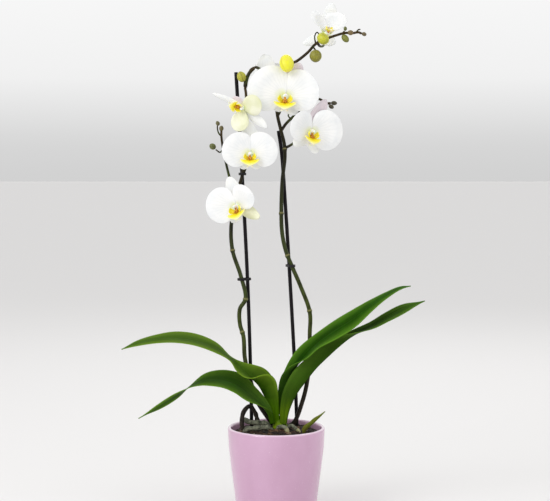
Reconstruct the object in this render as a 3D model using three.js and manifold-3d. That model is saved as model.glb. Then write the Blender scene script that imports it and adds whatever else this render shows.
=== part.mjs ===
// A white moth orchid with two flower spikes, in a glazed pot.
// Millimetres, +Z up. The origin is the centre of the pot's flat base and -Y is the front.
import * as THREE from "three";
import { mergeVertices } from "three/addons/utils/BufferGeometryUtils.js";
import Module from "manifold-3d";

const wasm = await Module();
wasm.setup();

// ---------------------------------------------------------------- driving dimensions

const GAP = 0.35; // clearance between pieces that touch on the real plant
const POT_HEIGHT = 125;
const POT_RIM_RADIUS = 68;
const POT_BASE_RADIUS = 49;
const POT_RIM_THICKNESS = 5;
const POT_FLOOR = 7;
const BARK_LEVEL = 116; // top of the bark at the pot wall
const BARK_HEAP = 7; // how much higher the bark lies round the crown
const BARK_RADIUS = 61.6;
const CHIP_COUNT = 12;
const STAKE_RADIUS = 2.6;
const SPIKE_RADIUS = 3.2;
const LEAF_THICKNESS = 2.0;
const PETAL_LENGTH = 49;
const PETAL_THICKNESS = 0.9;
const SEPAL_LENGTH = 36;
const STALK_RUN = 9; // straight run of a flower stalk behind its bloom
const STALK_RADIUS = 1.7;
const CLIP_HEIGHT = 3.6;
const CLIP_WALL = 2.0;

const group = new THREE.Group();

const FINISH = {
  glaze: { color: 0xd4abcb, roughness: 0.15, metalness: 0 },
  black_plastic: { color: 0x2a2a2c, roughness: 0.6, metalness: 0 },
  bark: { color: 0x33241c, roughness: 0.9, metalness: 0 },
  root: { color: 0x7d8570, roughness: 0.7, metalness: 0 },
  old_root: { color: 0x1f1a14, roughness: 0.8, metalness: 0 },
  crown: { color: 0x6f9a1c, roughness: 0.5, metalness: 0 },
  leaf: { color: 0x2f6b14, roughness: 0.35, metalness: 0 },
  spike: { color: 0x3c4a1c, roughness: 0.5, metalness: 0 },
  petal: { color: 0xf6f6f2, roughness: 0.6, metalness: 0 },
  lip: { color: 0xf0cf1c, roughness: 0.5, metalness: 0 },
  bud: { color: 0xb9bd2a, roughness: 0.5, metalness: 0 },
};

// ---------------------------------------------------------------- solids and their joins

const vec = (point) => new THREE.Vector3(...point);

function signedVolume(position, index) {
  let sum = 0;
  const a = new THREE.Vector3();
  const b = new THREE.Vector3();
  const c = new THREE.Vector3();
  for (let i = 0; i < index.length; i += 3) {
    a.fromBufferAttribute(position, index[i]);
    b.fromBufferAttribute(position, index[i + 1]);
    c.fromBufferAttribute(position, index[i + 2]);
    sum += a.dot(b.cross(c));
  }
  return sum;
}

// A closed geometry as a solid, with its faces turned outward.
function solid(geometry) {
  geometry.deleteAttribute("normal");
  geometry.deleteAttribute("uv");
  const merged = mergeVertices(geometry, 1e-4);
  const position = merged.getAttribute("position");
  const corners = Array.from(merged.getIndex().array);
  const index = [];
  for (let i = 0; i < corners.length; i += 3) {
    const [a, b, c] = corners.slice(i, i + 3);
    if (a !== b && b !== c && a !== c) index.push(a, b, c);
  }
  if (signedVolume(position, index) < 0) index.reverse();
  const mesh = new wasm.Mesh({
    numProp: 3,
    vertProperties: new Float32Array(position.array),
    triVerts: new Uint32Array(index),
  });
  return new wasm.Manifold(mesh);
}

const join = (pieces) => pieces.reduce((sum, piece) => sum.add(piece));
const cut = (body, tools) => tools.reduce((rest, tool) => rest.subtract(tool), body);

// The largest body of a solid: loose scraps that a cut leaves are dropped.
function largest(body) {
  const bodies = body.decompose();
  return bodies.reduce((best, one) => (Math.abs(one.volume()) > Math.abs(best.volume()) ? one : best));
}

function add(name, body, finish) {
  const mesh = largest(body).getMesh();
  const geometry = new THREE.BufferGeometry();
  geometry.setAttribute("position", new THREE.BufferAttribute(new Float32Array(mesh.vertProperties), 3));
  geometry.setIndex(new THREE.BufferAttribute(new Uint32Array(mesh.triVerts), 1));
  geometry.computeVertexNormals();
  const node = new THREE.Mesh(geometry, new THREE.MeshStandardMaterial(FINISH[finish]));
  node.name = name;
  group.add(node);
}

// ---------------------------------------------------------------- shared shapes

// Steps through the values of a list by a share 0 to 1 of its length, smoothly.
function along(values, share) {
  const last = values.length - 1;
  const at = Math.min(Math.max(share, 0), 1) * last;
  const i = Math.min(Math.floor(at), last - 1);
  const t = at - i;
  const before = values[Math.max(i - 1, 0)];
  const after = values[Math.min(i + 2, last)];
  const [p, q] = [values[i], values[i + 1]];
  const slopeP = (q - before) / 2;
  const slopeQ = (after - p) / 2;
  const t2 = t * t;
  const t3 = t2 * t;
  return (2 * t3 - 3 * t2 + 1) * p + (t3 - 2 * t2 + t) * slopeP
    + (3 * t2 - 2 * t3) * q + (t3 - t2) * slopeQ;
}

// A round tube with its own radius at each step. Its ends are closed by a point.
function tube(points, radii, sides = 7, steps = 12) {
  const curve = new THREE.CatmullRomCurve3(points.map(vec), false, "centripetal");
  const frames = curve.computeFrenetFrames(steps, false);
  const position = [];
  const index = [];
  for (let i = 0; i <= steps; i += 1) {
    const centre = curve.getPointAt(i / steps);
    const radius = typeof radii === "function" ? radii(i / steps) : along(radii, i / steps);
    for (let j = 0; j < sides; j += 1) {
      const angle = (2 * Math.PI * j) / sides;
      const out = frames.normals[i].clone().multiplyScalar(Math.cos(angle) * radius);
      out.addScaledVector(frames.binormals[i], Math.sin(angle) * radius);
      position.push(...centre.clone().add(out).toArray());
    }
  }
  for (let i = 0; i < steps; i += 1) {
    for (let j = 0; j < sides; j += 1) {
      const a = i * sides + j;
      const b = i * sides + ((j + 1) % sides);
      index.push(a, b, a + sides, b, b + sides, a + sides);
    }
  }
  const first = position.length / 3;
  position.push(...curve.getPointAt(0).addScaledVector(frames.tangents[0], -0.2).toArray());
  position.push(...curve.getPointAt(1).addScaledVector(frames.tangents[steps], 0.2).toArray());
  for (let j = 0; j < sides; j += 1) {
    const next = (j + 1) % sides;
    index.push(first, next, j);
    index.push(first + 1, steps * sides + j, steps * sides + next);
  }
  return solid(geometryOf(position, index));
}

function geometryOf(position, index) {
  const geometry = new THREE.BufferGeometry();
  geometry.setAttribute("position", new THREE.BufferAttribute(new Float32Array(position), 3));
  geometry.setIndex(index);
  return geometry;
}

// A thin blade from a grid of points: point(u, v) is its middle surface, with u along and v across.
// The two faces are split into triangles alike, so a waved blade never crosses itself.
function blade(point, thickness, rows, columns) {
  const grid = [];
  for (let i = 0; i <= rows; i += 1) {
    for (let j = 0; j <= columns; j += 1) {
      const [u, v] = [i / rows, j / columns];
      const d = 1e-3;
      const lengthways = point(Math.min(u + d, 1), v).sub(point(Math.max(u - d, 0), v));
      const across = point(u, Math.min(v + d, 1)).sub(point(u, Math.max(v - d, 0)));
      const normal = lengthways.cross(across).normalize();
      grid.push({ middle: point(u, v), normal, half: thickness(u, v) / 2 });
    }
  }
  const position = [];
  for (const side of [1, -1]) {
    for (const { middle, normal, half } of grid) {
      position.push(...middle.clone().addScaledVector(normal, side * half).toArray());
    }
  }
  const index = [];
  const width = columns + 1;
  const back = grid.length;
  for (let i = 0; i < rows; i += 1) {
    for (let j = 0; j < columns; j += 1) {
      const a = i * width + j;
      const [b, c, d] = [a + 1, a + width, a + width + 1];
      index.push(a, c, b, b, c, d);
      index.push(back + a, back + b, back + c, back + b, back + d, back + c);
    }
  }
  const rim = [];
  for (let j = 0; j < columns; j += 1) rim.push(j);
  for (let i = 0; i < rows; i += 1) rim.push(i * width + columns);
  for (let j = columns; j > 0; j -= 1) rim.push(rows * width + j);
  for (let i = rows; i > 0; i -= 1) rim.push(i * width);
  rim.forEach((a, k) => {
    const b = rim[(k + 1) % rim.length];
    index.push(a, b, back + a, b, back + b, back + a);
  });
  return solid(geometryOf(position, index));
}

// A closed body of revolution round +Z from a list of [radius, height].
function turned(profile, segments) {
  const points = profile.map(([radius, height]) => new THREE.Vector2(radius, height));
  return solid(new THREE.LatheGeometry(points, segments).rotateX(Math.PI / 2));
}

function egg(centre, radii, axis = [0, 0, 1], sides = 10, rings = 7) {
  const geometry = new THREE.SphereGeometry(1, sides, rings).rotateX(Math.PI / 2).scale(...radii);
  const turn = new THREE.Quaternion().setFromUnitVectors(new THREE.Vector3(0, 0, 1), vec(axis).normalize());
  geometry.applyQuaternion(turn).translate(...centre);
  return solid(geometry);
}

// A repeatable random number from 0 to 1.
function randomFrom(seed) {
  let state = seed;
  return () => {
    state = (state * 16807) % 2147483647;
    return state / 2147483647;
  };
}

// ---------------------------------------------------------------- pot, inner pot

function pot() {
  const edge = POT_RIM_RADIUS;
  const inside = POT_RIM_RADIUS - POT_RIM_THICKNESS;
  const outer = [
    [0, 0], [POT_BASE_RADIUS, 0], [52.8, 1.4], [54.7, 6], [57.3, 19], [60, 42], [63.6, 69], [67, 98],
    [edge, POT_HEIGHT - 4], [edge - 0.9, POT_HEIGHT - 0.9], [edge - 2.5, POT_HEIGHT],
  ];
  const inner = [
    [inside + 0.8, POT_HEIGHT - 0.9], [inside, POT_HEIGHT - 4], [60.6, 90], [54.8, 38], [51, 14],
    [44, POT_FLOOR], [0, POT_FLOOR],
  ];
  return turned([...outer, ...inner], 32);
}

// The thin pot that the plant was grown in, with drain holes in its floor.
function growPot() {
  const floor = POT_FLOOR + GAP;
  const wall = 1.2;
  const side = [[42.4, floor], [49.6, 15], [53.3, 38], [60.2, 106]];
  const outer = [[0, floor], ...side, [61, 106.4], [61, 108.4]];
  const inner = side.slice(1).reverse().map(([radius, height]) => [radius - wall, height]);
  const shell = turned([...outer, [59, 108.4], ...inner, [42, floor + wall], [0, floor + wall]], 20);
  const holes = [0, 1, 2, 3].map((k) => {
    const turn = (k * Math.PI) / 2;
    const hole = new THREE.CylinderGeometry(4, 4, 6, 8).rotateX(Math.PI / 2);
    return solid(hole.translate(28 * Math.cos(turn), 28 * Math.sin(turn), floor));
  });
  return cut(shell, holes);
}

// ---------------------------------------------------------------- leaves

// Each station of a leaf: its midrib point, half width, and how far the near and the far half
// rise from the level, in degrees. A negative rise droops.
const LEAVES = {
  leaf_left_upper: [
    [-7, -6, 130, 12.3, 66, 50], [-8, -7, 150, 12.7, 72, 58], [-15, -9.5, 167, 20, 74, 58],
    [-25, -14, 186, 27, 62, 52], [-38, -20, 199, 23, 2, 47], [-51, -22, 212, 17, -20, 24],
    [-64, -23, 224, 15, -4, 8], [-83, -23, 238, 19, -10, 15], [-110, -22, 248, 22, -10, 18],
    [-140, -21, 252, 22, -10, 18], [-168, -20, 250, 18, -10, 14], [-193, -18, 244, 12, -9, 12],
    [-215, -16, 235.4, 1, -8, 10],
  ],
  leaf_left_lower: [
    [-8, -11.5, 131, 5, 56, 76], [-11.5, -16.5, 145, 8, 48, 64], [-20, -21, 158, 13.5, 6, 44],
    [-36, -24, 173, 20, -18, 34], [-54, -24, 187, 24, -20, 36], [-75, -25, 194, 23, -16, 32],
    [-97, -24, 194, 18, -14, 22], [-118, -22, 185, 13, 2, 0], [-140, -21, 171, 13, 22, -24],
    [-165, -20, 155, 11, 24, -26], [-192, -18, 139, 1, 16, -14],
  ],
  leaf_right_upper: [
    [9, 2, 136, 4, 58, 54], [9, 2, 158, 7, 74, 64], [15, 0, 182, 12, 82, 60],
    [26, -5, 207, 17, 30, 46], [40, -11, 226, 22, -8, 38], [58, -15, 245, 24, -14, 28],
    [79, -18, 261, 25, -21, 25], [105, -19, 278, 22, -26, 26], [130, -19, 297, 18, -22, 20],
    [151, -19, 311, 13, -16, 16], [171, -18, 321, 8, -10, 12], [186, -17, 324, 1, -10, 10],
  ],
  leaf_right_lower: [
    [13, -10, 129, 8.5, 76, 56], [18, -12, 151, 13.5, 80, 74], [27, -15, 172, 19, 84, 76],
    [41, -16, 192, 22.5, 86, 66], [56, -18, 211, 19.5, 86, 46], [71, -20, 226, 20, 86, 32],
    [86, -21, 240, 18, 84, 22], [105, -22, 255, 15.5, 24, 20], [131, -22, 268, 15, -8, 20],
    [153, -21, 280, 16, -12, 24], [178, -19, 293, 13, -16, 24], [206, -17, 303.6, 1, -12, 16],
  ],
  young_leaf: [
    [37, -24, 112, 4, 60, 60], [41, -23, 124, 5.5, 62, 62], [50, -20, 132, 5.5, 60, 60],
    [60, -17, 141, 3.6, 55, 55], [68, -15, 149, 0.8, 50, 50],
  ],
};

// The middle surface of a leaf, curved from the near edge over the midrib to the far edge.
function leafSurface(stations, extra = 0) {
  const column = (k) => stations.map((station) => station[k]);
  const spine = new THREE.CatmullRomCurve3(stations.map(([x, y, z]) => vec([x, y, z])), false, "centripetal");
  const [widths, nearRise, farRise] = [column(3), column(4), column(5)];
  const reach = spine.getPoint(1).sub(spine.getPoint(0));
  const side = new THREE.Vector3(-reach.y, reach.x, 0).normalize();
  const away = side.clone().multiplyScalar(Math.sign(side.y));
  return (u, v) => {
    const centre = spine.getPoint(u);
    const up = spine.getTangent(u).cross(side).normalize();
    const half = Math.max(along(widths, u), 0.6) + extra;
    const near = THREE.MathUtils.degToRad(along(nearRise, u));
    const far = THREE.MathUtils.degToRad(along(farRise, u));
    const nearEdge = away.clone().multiplyScalar(-half * Math.cos(near));
    nearEdge.addScaledVector(up, half * Math.sin(near));
    const farEdge = away.clone().multiplyScalar(half * Math.cos(far));
    farEdge.addScaledVector(up, half * Math.sin(far));
    const s = 2 * v - 1;
    const bend = 0.55 * Math.abs(s) + 0.45 * s * s;
    const rise = nearEdge.clone().add(farEdge).multiplyScalar(0.5 * bend);
    const span = farEdge.clone().sub(nearEdge).multiplyScalar(0.5 * s);
    return centre.add(rise).add(span);
  };
}

function leaf(name, extra = 0) {
  const stations = LEAVES[name];
  const small = name === "young_leaf";
  const thick = small ? 1.4 : LEAF_THICKNESS;
  const taper = (u, v) => extra * 2 + thick * (1 - 0.5 * Math.abs(2 * v - 1)) * (1 - 0.35 * u);
  return blade(leafSurface(stations, extra), taper, small ? 5 : 16, 4);
}

// The space that a leaf's foot takes in what it stands in, open a little below its foot too.
const leafHole = (name) => leaf(name, GAP).add(leaf(name, GAP).translate([0, 0, -GAP]));

// ---------------------------------------------------------------- crown and roots

function crownStem(extra = 0) {
  const radii = [7, 10.5, 11, 9.6, 7].map((radius) => radius + extra);
  return tube([[5, -3, 100], [5, -3, 116], [5, -3, 126], [5, -3, 134], [5, -3, 141]], radii, 8, 6);
}

const ROOTS = {
  root_left_back: {
    path: [
      [-8, -7, 118], [-13, -6, 130],
      [-25, -3, 131], [-38, 3, 131], [-48, 19, 134],
    ],
    radius: 3.7,
  },
  root_left_front: {
    path: [
      [-4, -12, 122], [-13, -19, 127],
      [-27, -22, 127], [-40, -20, 125], [-47, -13, 117],
    ],
    radius: 3.3,
  },
  root_front: { path: [[4, -14, 118], [3, -17, 127], [12, -24, 128], [17, -30, 120]], radius: 3.0 },
  root_right: { path: [[14, -8, 122], [20, -14, 129], [27, -22, 126], [33, -31, 123]], radius: 2.6 },
  root_old: {
    path: [
      [-46, -4, 113], [-48, -4, 130], [-46, -2, 145],
      [-38, 3, 153], [-31, 7, 146], [-27, 8, 134], [-24, 8, 114],
    ],
    radius: 3.3,
  },
};

function root(name, extra = 0) {
  const { path, radius } = ROOTS[name];
  const shape = [0.75, 1, 0.94, 1.04, 0.97, 1, 0.6].map((share) => share * radius + extra);
  return tube(path, shape, 5, 7);
}

// ---------------------------------------------------------------- stakes, spikes and clips

const STAKES = {
  stake_left: [
    [-34, 15, 30], [-35, 15, 141], [-37, 15, 231],
    [-40.5, 15, 334], [-48, 15, 483], [-56, 15, 619],
  ],
  stake_right: [
    [31, 15, 30], [28.5, 15, 140], [25, 15, 225],
    [19.5, 15, 324], [14, 15, 414], [7, 15, 511], [3, 15, 538],
  ],
};

// A stake is a round rod: its section is carried along its slightly bent middle line.
function stake(name, extra = 0) {
  const section = new THREE.Shape();
  section.absarc(0, 0, STAKE_RADIUS + extra, 0, 2 * Math.PI, false);
  const path = new THREE.CatmullRomCurve3(STAKES[name].map(vec), false, "centripetal");
  return solid(new THREE.ExtrudeGeometry(section, { curveSegments: 4, steps: 9, extrudePath: path }));
}

const SPIKES = {
  spike_left: {
    path: [
      [-4, 5, 126], [-13, 6, 138], [-26, 8, 158], [-36, 7.5, 188], [-44, 8.5, 220], [-46, 10.5, 250],
      [-51, 12, 268], [-51, 11, 289], [-43, 8.4, 304], [-50, 9, 337], [-61, 10, 371], [-63, 8, 403],
      [-57, 7, 442], [-46, 6.5, 481], [-42, 6, 511], [-41, 5, 553], [-42, 5, 589], [-43, 4, 598],
      [-40, 4, 610], [-35, 4, 622], [-27, 6, 626],
    ],
    nodes: [0.267, 0.362, 0.497, 0.659],
    twigs: [
      {
        path: [
          [-57, 7, 440], [-62, 7, 461], [-66, 6, 477],
          [-70, 5, 494], [-74, 4, 514], [-76, 3, 530], [-76, 3, 539],
        ],
        radius: 1.7,
      },
      { path: [[-74, 4, 512], [-78, 2, 508], [-84, 0.5, 512]], radius: 1.0 },
      { path: [[-75.5, 3, 530], [-79.5, 3, 534], [-81.4, 3, 540], [-81.4, 3, 547]], radius: 1.0 },
      { path: [[-42, 4.5, 596], [-43, 3, 604], [-45, 2, 607]], radius: 1.3 },
      { path: [[-43, 4, 597], [-42, 4, 605], [-37.5, 4, 617], [-30, 5, 625]], radius: 2.5 },
    ],
    stalks: {
      bloom_left_1: [[-62, 8, 412], [-60, 2, 420], [-54, -7, 430]],
      bloom_left_2: [[-46, 6.5, 478], [-42, 3, 488], [-38, -8, 501]],
      bloom_left_3: [[-41.5, 5, 554], [-40, 0, 562], [-40, -8, 568]],
      bloom_left_4: [[-29, 6, 626], [-20, 4, 621]],
    },
  },
  spike_right: {
    path: [
      [16, 5, 124], [25, 6, 130], [37, 9, 160], [43, 13, 184], [47, 16, 220], [47, 16, 252], [47, 15, 284],
      [34, 11, 321], [22, 7, 349], [13, 7.5, 372], [8, 8, 397], [7, 8, 430], [8.5, 7, 470], [12, 7.5, 502],
      [11, 7, 520], [6, 6, 540], [1, 5, 564], [2, 5, 583], [8, 4, 603], [13, 4, 618], [20, 3, 629],
      [29, 3, 634], [44, 3, 646], [52, 3, 655], [60, 3, 661], [71, 3, 665], [83, 3, 669], [94, 3, 672],
      [106, 3, 672], [113, 3, 673], [118, 3, 671],
    ],
    nodes: [0.268, 0.4, 0.494, 0.634],
    twigs: [
      {
        path: [
          [7, 6, 538], [13, 8, 547], [22, 8, 556], [33, 11, 566],
          [46, 12, 577], [58, 11, 582], [70, 8, 576], [76, 7, 576],
        ],
        radius: 1.8,
      },
      { path: [[70, 8, 576], [73, 5, 574]], radius: 1.0 },
      { path: [[20, 8, 554], [16.5, 6, 559], [19, 5, 563], [25, 5, 560]], radius: 0.9 },
      { path: [[18, 3, 627], [17, -6, 635], [15, -16, 633], [14, -23, 630]], radius: 1.5 },
      { path: [[50, 3, 654], [52, 0, 651], [54, -2, 648]], radius: 1.2 },
      { path: [[54, 3, 658], [53, 3, 668], [56, 3, 673], [60, 3, 669]], radius: 0.9 },
      { path: [[64, 3, 663], [63, 0, 664], [63, -3, 664]], radius: 1.2 },
      { path: [[92, 3, 671.5], [93.5, 3, 669]], radius: 1.2 },
      { path: [[91, 3, 671], [94, 3, 675]], radius: 1.2 },
      { path: [[99, 3, 672], [101, 0.5, 672.5]], radius: 1.2 },
      { path: [[110, 3, 672.5], [113, 3, 676.5], [116, 3, 677]], radius: 1.0 },
    ],
    stalks: {
      bloom_right_1: [[12, 7, 514], [20, 6, 518], [33, -3, 528]],
      bloom_right_2: [[1, 5, 557], [5, 3, 564], [10, -5, 577]],
      bloom_right_3: [[57, 3, 658], [60, 12, 655], [65, 26, 656], [68, 36, 662]],
    },
  },
};

// A spike is green and tapers to its tip, with a raised ring where each scale leaf sat.
function spike(name, extra = 0) {
  const { path, nodes, twigs, stalks } = SPIKES[name];
  const flowerStalks = Object.entries(stalks).map(([bloomName, start]) => {
    const { at, face, size } = BLOOMS[bloomName];
    const behind = vec(at).addScaledVector(vec(face).normalize(), -STALK_RUN * size);
    return { path: [...start, behind.toArray(), at], radius: STALK_RADIUS };
  });
  const radius = (share) => SPIKE_RADIUS * (share < 0.5 ? 1 - 0.2 * share : 1.27 - 0.74 * share) + extra;
  const main = tube(path, radius, 6, Math.round(path.length * 1.2));
  const curve = new THREE.CatmullRomCurve3(path.map(vec), false, "centripetal");
  const rings = nodes.map((at) => {
    const middle = curve.getPointAt(at);
    const wide = radius(at) + 0.9;
    return egg(middle.toArray(), [wide, wide, 1.6 + extra], curve.getTangentAt(at).toArray(), 6, 2);
  });
  const side = [...twigs, ...flowerStalks].map((twig) => {
    const sides = twig.radius > 1.3 ? 4 : 3;
    const radii = [1.25, 1, 0.9].map((share) => share * twig.radius + extra);
    return tube(twig.path, radii, sides, Math.max(2, twig.path.length - 1));
  });
  return join([main, ...rings, ...side]);
}

// A clip is a flat ring round a stake and its spike, cut to both.
const CLIPS = {
  clip_left: {
    at: [-45, 12, 331], from: [-40.3, 15], to: [-49.4, 8.8],
    spike: "spike_left", stake: "stake_left",
  },
  clip_left_top: {
    at: [-47, 11, 478], from: [-47.7, 15], to: [-46.8, 6.6],
    spike: "spike_left", stake: "stake_left",
  },
  clip_right: {
    at: [20, 11, 350], from: [18, 15], to: [21.5, 7],
    spike: "spike_right", stake: "stake_right",
  },
};

function clip(name) {
  const { at, from, to, spike: spikeName, stake: stakeName } = CLIPS[name];
  const start = new THREE.Vector2(...from);
  const end = new THREE.Vector2(...to);
  const turn = end.clone().sub(start).angle();
  const radius = SPIKE_RADIUS + CLIP_WALL;
  const outline = new THREE.Shape();
  outline.absarc(start.x, start.y, radius, turn + Math.PI / 2, turn + 1.5 * Math.PI, false);
  outline.absarc(end.x, end.y, radius, turn - Math.PI / 2, turn + Math.PI / 2, false);
  const depth = CLIP_HEIGHT;
  const plate = new THREE.ExtrudeGeometry(outline, { depth, bevelEnabled: false, curveSegments: 4 });
  const band = solid(plate.translate(0, 0, at[2] - CLIP_HEIGHT / 2));
  return cut(band, [stake(stakeName, GAP), spike(spikeName, GAP)]);
}

// ---------------------------------------------------------------- blooms

// A bloom's own frame has x to its viewer's right, y to its top sepal and z out of its face.
// Petals and sepals are listed as [turn in degrees from x, reach, breadth, sweep forward in degrees].
const BLOOMS = {
  bloom_left_1: {
    at: [-54, -22, 434], face: [-0.42, -0.9, -0.1], top: [-0.4, 0, 1], size: 0.92,
    petals: [[24, 0.8, 0.84, 12], [161, 0.98, 0.94, 10]],
    sepals: [[86, 1.26, 1.1, 2], [-46, 1.08, 0.8, 0], [-136, 0.8, 0.95, -4]],
  },
  bloom_left_2: {
    at: [-36, -26, 506], face: [0, -1, -0.06], top: [0, 0, 1], size: 0.85,
    petals: [[14, 0.94, 1.08, 5], [166, 0.94, 1.08, 5]],
    sepals: [[90, 1.42, 1.15, -2], [-60, 0.8, 0.95, -4], [-120, 0.8, 0.95, -4]],
  },
  bloom_left_3: {
    at: [-46, -30, 569], face: [-0.25, -0.93, -0.28], top: [0.94, 0, -0.34], size: 0.88, spread: 0.58,
    petals: [[10, 0.77, 0.56, 18], [130, 0.68, 0.8, 4]],
    sepals: [[70, 1.38, 0.7, 2], [-93, 1.42, 0.38, 6], [-112, 0.6, 0.6, 0]],
  },
  bloom_left_4: {
    at: [-13, 18, 613], face: [0.1, 0.95, 0.25], top: [-0.05, 0, 1], size: 0.85, spread: 0.4,
    petals: [[10, 0.7, 0.7, 26], [170, 0.7, 0.7, 26]],
    sepals: [[90, 1.04, 1.25, 4], [-56, 0.9, 0.9, 12], [-124, 0.9, 0.9, 12]],
  },
  bloom_right_1: {
    at: [47, -24, 536], face: [0.46, -0.88, -0.04], top: [0.24, 0, 1], size: 0.94, spread: 0.86,
    petals: [[12, 1.02, 1, 9], [172, 0.82, 0.95, 9]],
    sepals: [[72, 1.5, 0.95, 0], [-54, 0.98, 0.9, -4], [-126, 0.9, 0.9, -4]],
  },
  bloom_right_2: {
    at: [12, -23, 584], face: [0, -1, 0.04], top: [0.05, 0, 1], size: 1,
    petals: [[18, 0.98, 1.04, 6], [162, 1.08, 1.04, 6]],
    sepals: [[69, 1.38, 1.15, 2], [-56, 0.8, 0.95, -4], [-124, 0.66, 0.95, -4]],
  },
  bloom_right_3: {
    at: [71, 34, 675], face: [0.25, -0.5, 0.82], top: [-0.1, 0.83, 0.56], size: 0.9, spread: 0.5,
    petals: [[54, 0.9, 0.66, 30], [146, 0.82, 0.62, 30]],
    sepals: [[82, 1.5, 1, 40], [-92, 0.85, 1.15, -6], [-144, 1.35, 0.9, -12]],
  },
};

function bloomFrame({ at, face, top, size }) {
  const z = vec(face).normalize();
  const y = vec(top).addScaledVector(z, -vec(top).dot(z)).normalize();
  const x = new THREE.Vector3().crossVectors(y, z);
  const frame = new THREE.Matrix4().makeBasis(x, y, z);
  return frame.scale(new THREE.Vector3(size, size, size)).setPosition(...at);
}

// Turns a point of a blade, laid along x, to the blade's own direction in the bloom's face.
function turnedInFace(x, across, z, turn) {
  const angle = THREE.MathUtils.degToRad(turn);
  const [c, s] = [Math.cos(angle), Math.sin(angle)];
  return new THREE.Vector3(x * c - across * s, x * s + across * c, z);
}

// A broad petal spreads like a fan from its narrow claw and bends forward as it goes out.
function petalSurface([turn, reach, breadth, sweep], lift) {
  const deg = THREE.MathUtils.degToRad;
  const mirrored = Math.abs(turn) > 90;
  return (u, v) => {
    const a = (v * 2 - 1) * 88;
    const outline = Math.cos(deg(a)) ** (a > 0 ? 0.34 : 0.5);
    const radius = PETAL_LENGTH * reach * outline * (0.05 + 0.95 * u);
    const fan = deg(a * (a > 0 ? 0.9 : 0.84) * breadth);
    const out = radius * Math.cos(fan);
    const wave = 0.7 * Math.sin(deg(a * 3.2)) * u * u;
    const height = lift + 3 * Math.sin(2.4 * u) * Math.cos(fan) - u * u + wave;
    const tilt = deg(sweep) * Math.min(1, 1.3 * u);
    const x = out * Math.cos(tilt) - height * Math.sin(tilt);
    const z = out * Math.sin(tilt) + height * Math.cos(tilt);
    const point = turnedInFace(x, radius * Math.sin(fan), z, mirrored ? 180 - turn : turn);
    if (mirrored) point.x *= -1;
    return point;
  };
}

// A sepal is a long oval blade behind the petals.
function sepalSurface([turn, reach, breadth, sweep]) {
  return (u, v) => {
    const s = v * 2 - 1;
    const out = 2 + (SEPAL_LENGTH * reach - 2) * u;
    const half = 12.5 * breadth * (0.12 + 0.88 * Math.sin(Math.PI * (0.08 + 0.87 * u) ** 0.85) ** 0.8);
    const height = -2 - 1.2 * Math.sin(2.6 * u) - 1.6 * s * s * Math.min(1, 3 * u);
    const tilt = THREE.MathUtils.degToRad(sweep) * Math.min(1, 1.3 * u);
    const x = out * Math.cos(tilt) - height * Math.sin(tilt);
    return turnedInFace(x, s * half, out * Math.sin(tilt) + height * Math.cos(tilt), turn);
  };
}

const hub = (extra = 0) => egg([0, 0, 0], [4.4 + extra, 4.4 + extra, 3.6 + extra], [0, 0, 1], 6, 3);
const column = (extra = 0) => egg([0, 1, 5.5], [3 + extra, 3 + extra, 6.4 + extra], [0, -0.15, 1], 6, 3);

// Petals, sepals and the white column, which grow together.
function bloomWhite(bloom) {
  const thickness = () => PETAL_THICKNESS / bloom.size;
  const petals = bloom.petals.map((petal, k) => blade(petalSurface(petal, k ? 1.3 : 0), thickness, 2, 7));
  const sepals = bloom.sepals.map((sepal) => blade(sepalSurface(sepal), thickness, 3, 2));
  return join([hub(), column(), ...petals, ...sepals]);
}

// The lip: a short claw carries two side lobes that arch over the throat, and a broad middle lobe
// like a moustache with a pale tip. The callus sits in the throat.
function bloomLip(bloom) {
  const thickness = () => 1.1;
  const spread = bloom.spread ?? 1;
  const lobe = (sign) => (u, v) => {
    const s = v * 2 - 1;
    const half = 4.6 * Math.sin(Math.PI * (0.2 + 0.7 * u)) ** 0.7;
    const out = 2.8 + 6.6 * Math.sin(2.2 * u);
    const flare = 0.45 * half * s - 0.4 * half * s * s;
    return vec([sign * spread * (out + flare), -9 + 8.5 * u - 2 * s, 6.5 + 4.5 * u + half * s * 0.7]);
  };
  const middle = (u, v) => {
    const s = v * 2 - 1;
    const wing = Math.exp(-(((u - 0.55) / 0.3) ** 4));
    const half = 2.6 + 11.4 * wing + 1.2 * Math.sin(3 * u);
    const droop = 3 * wing * s * s;
    return vec([spread * s * half, -8.5 - 10.5 * u + 5 * wing * s * s, 6 + 9 * Math.sin(1.8 * u) - droop]);
  };
  const parts = [
    tube([[0, -1, 5.4], [0, -4.6, 6.2], [0, -8, 7.4], [0, -9, 9.5]], [1.5, 1.9, 3.4, 2], 5, 3),
    blade(lobe(1), thickness, 2, 2), blade(lobe(-1), thickness, 2, 2),
    blade(middle, thickness, 4, 4),
  ];
  return cut(join(parts), [column(GAP / bloom.size)]);
}

const placed = (body, bloom) => body.transform(bloomFrame(bloom).elements);

// ---------------------------------------------------------------- buds

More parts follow.
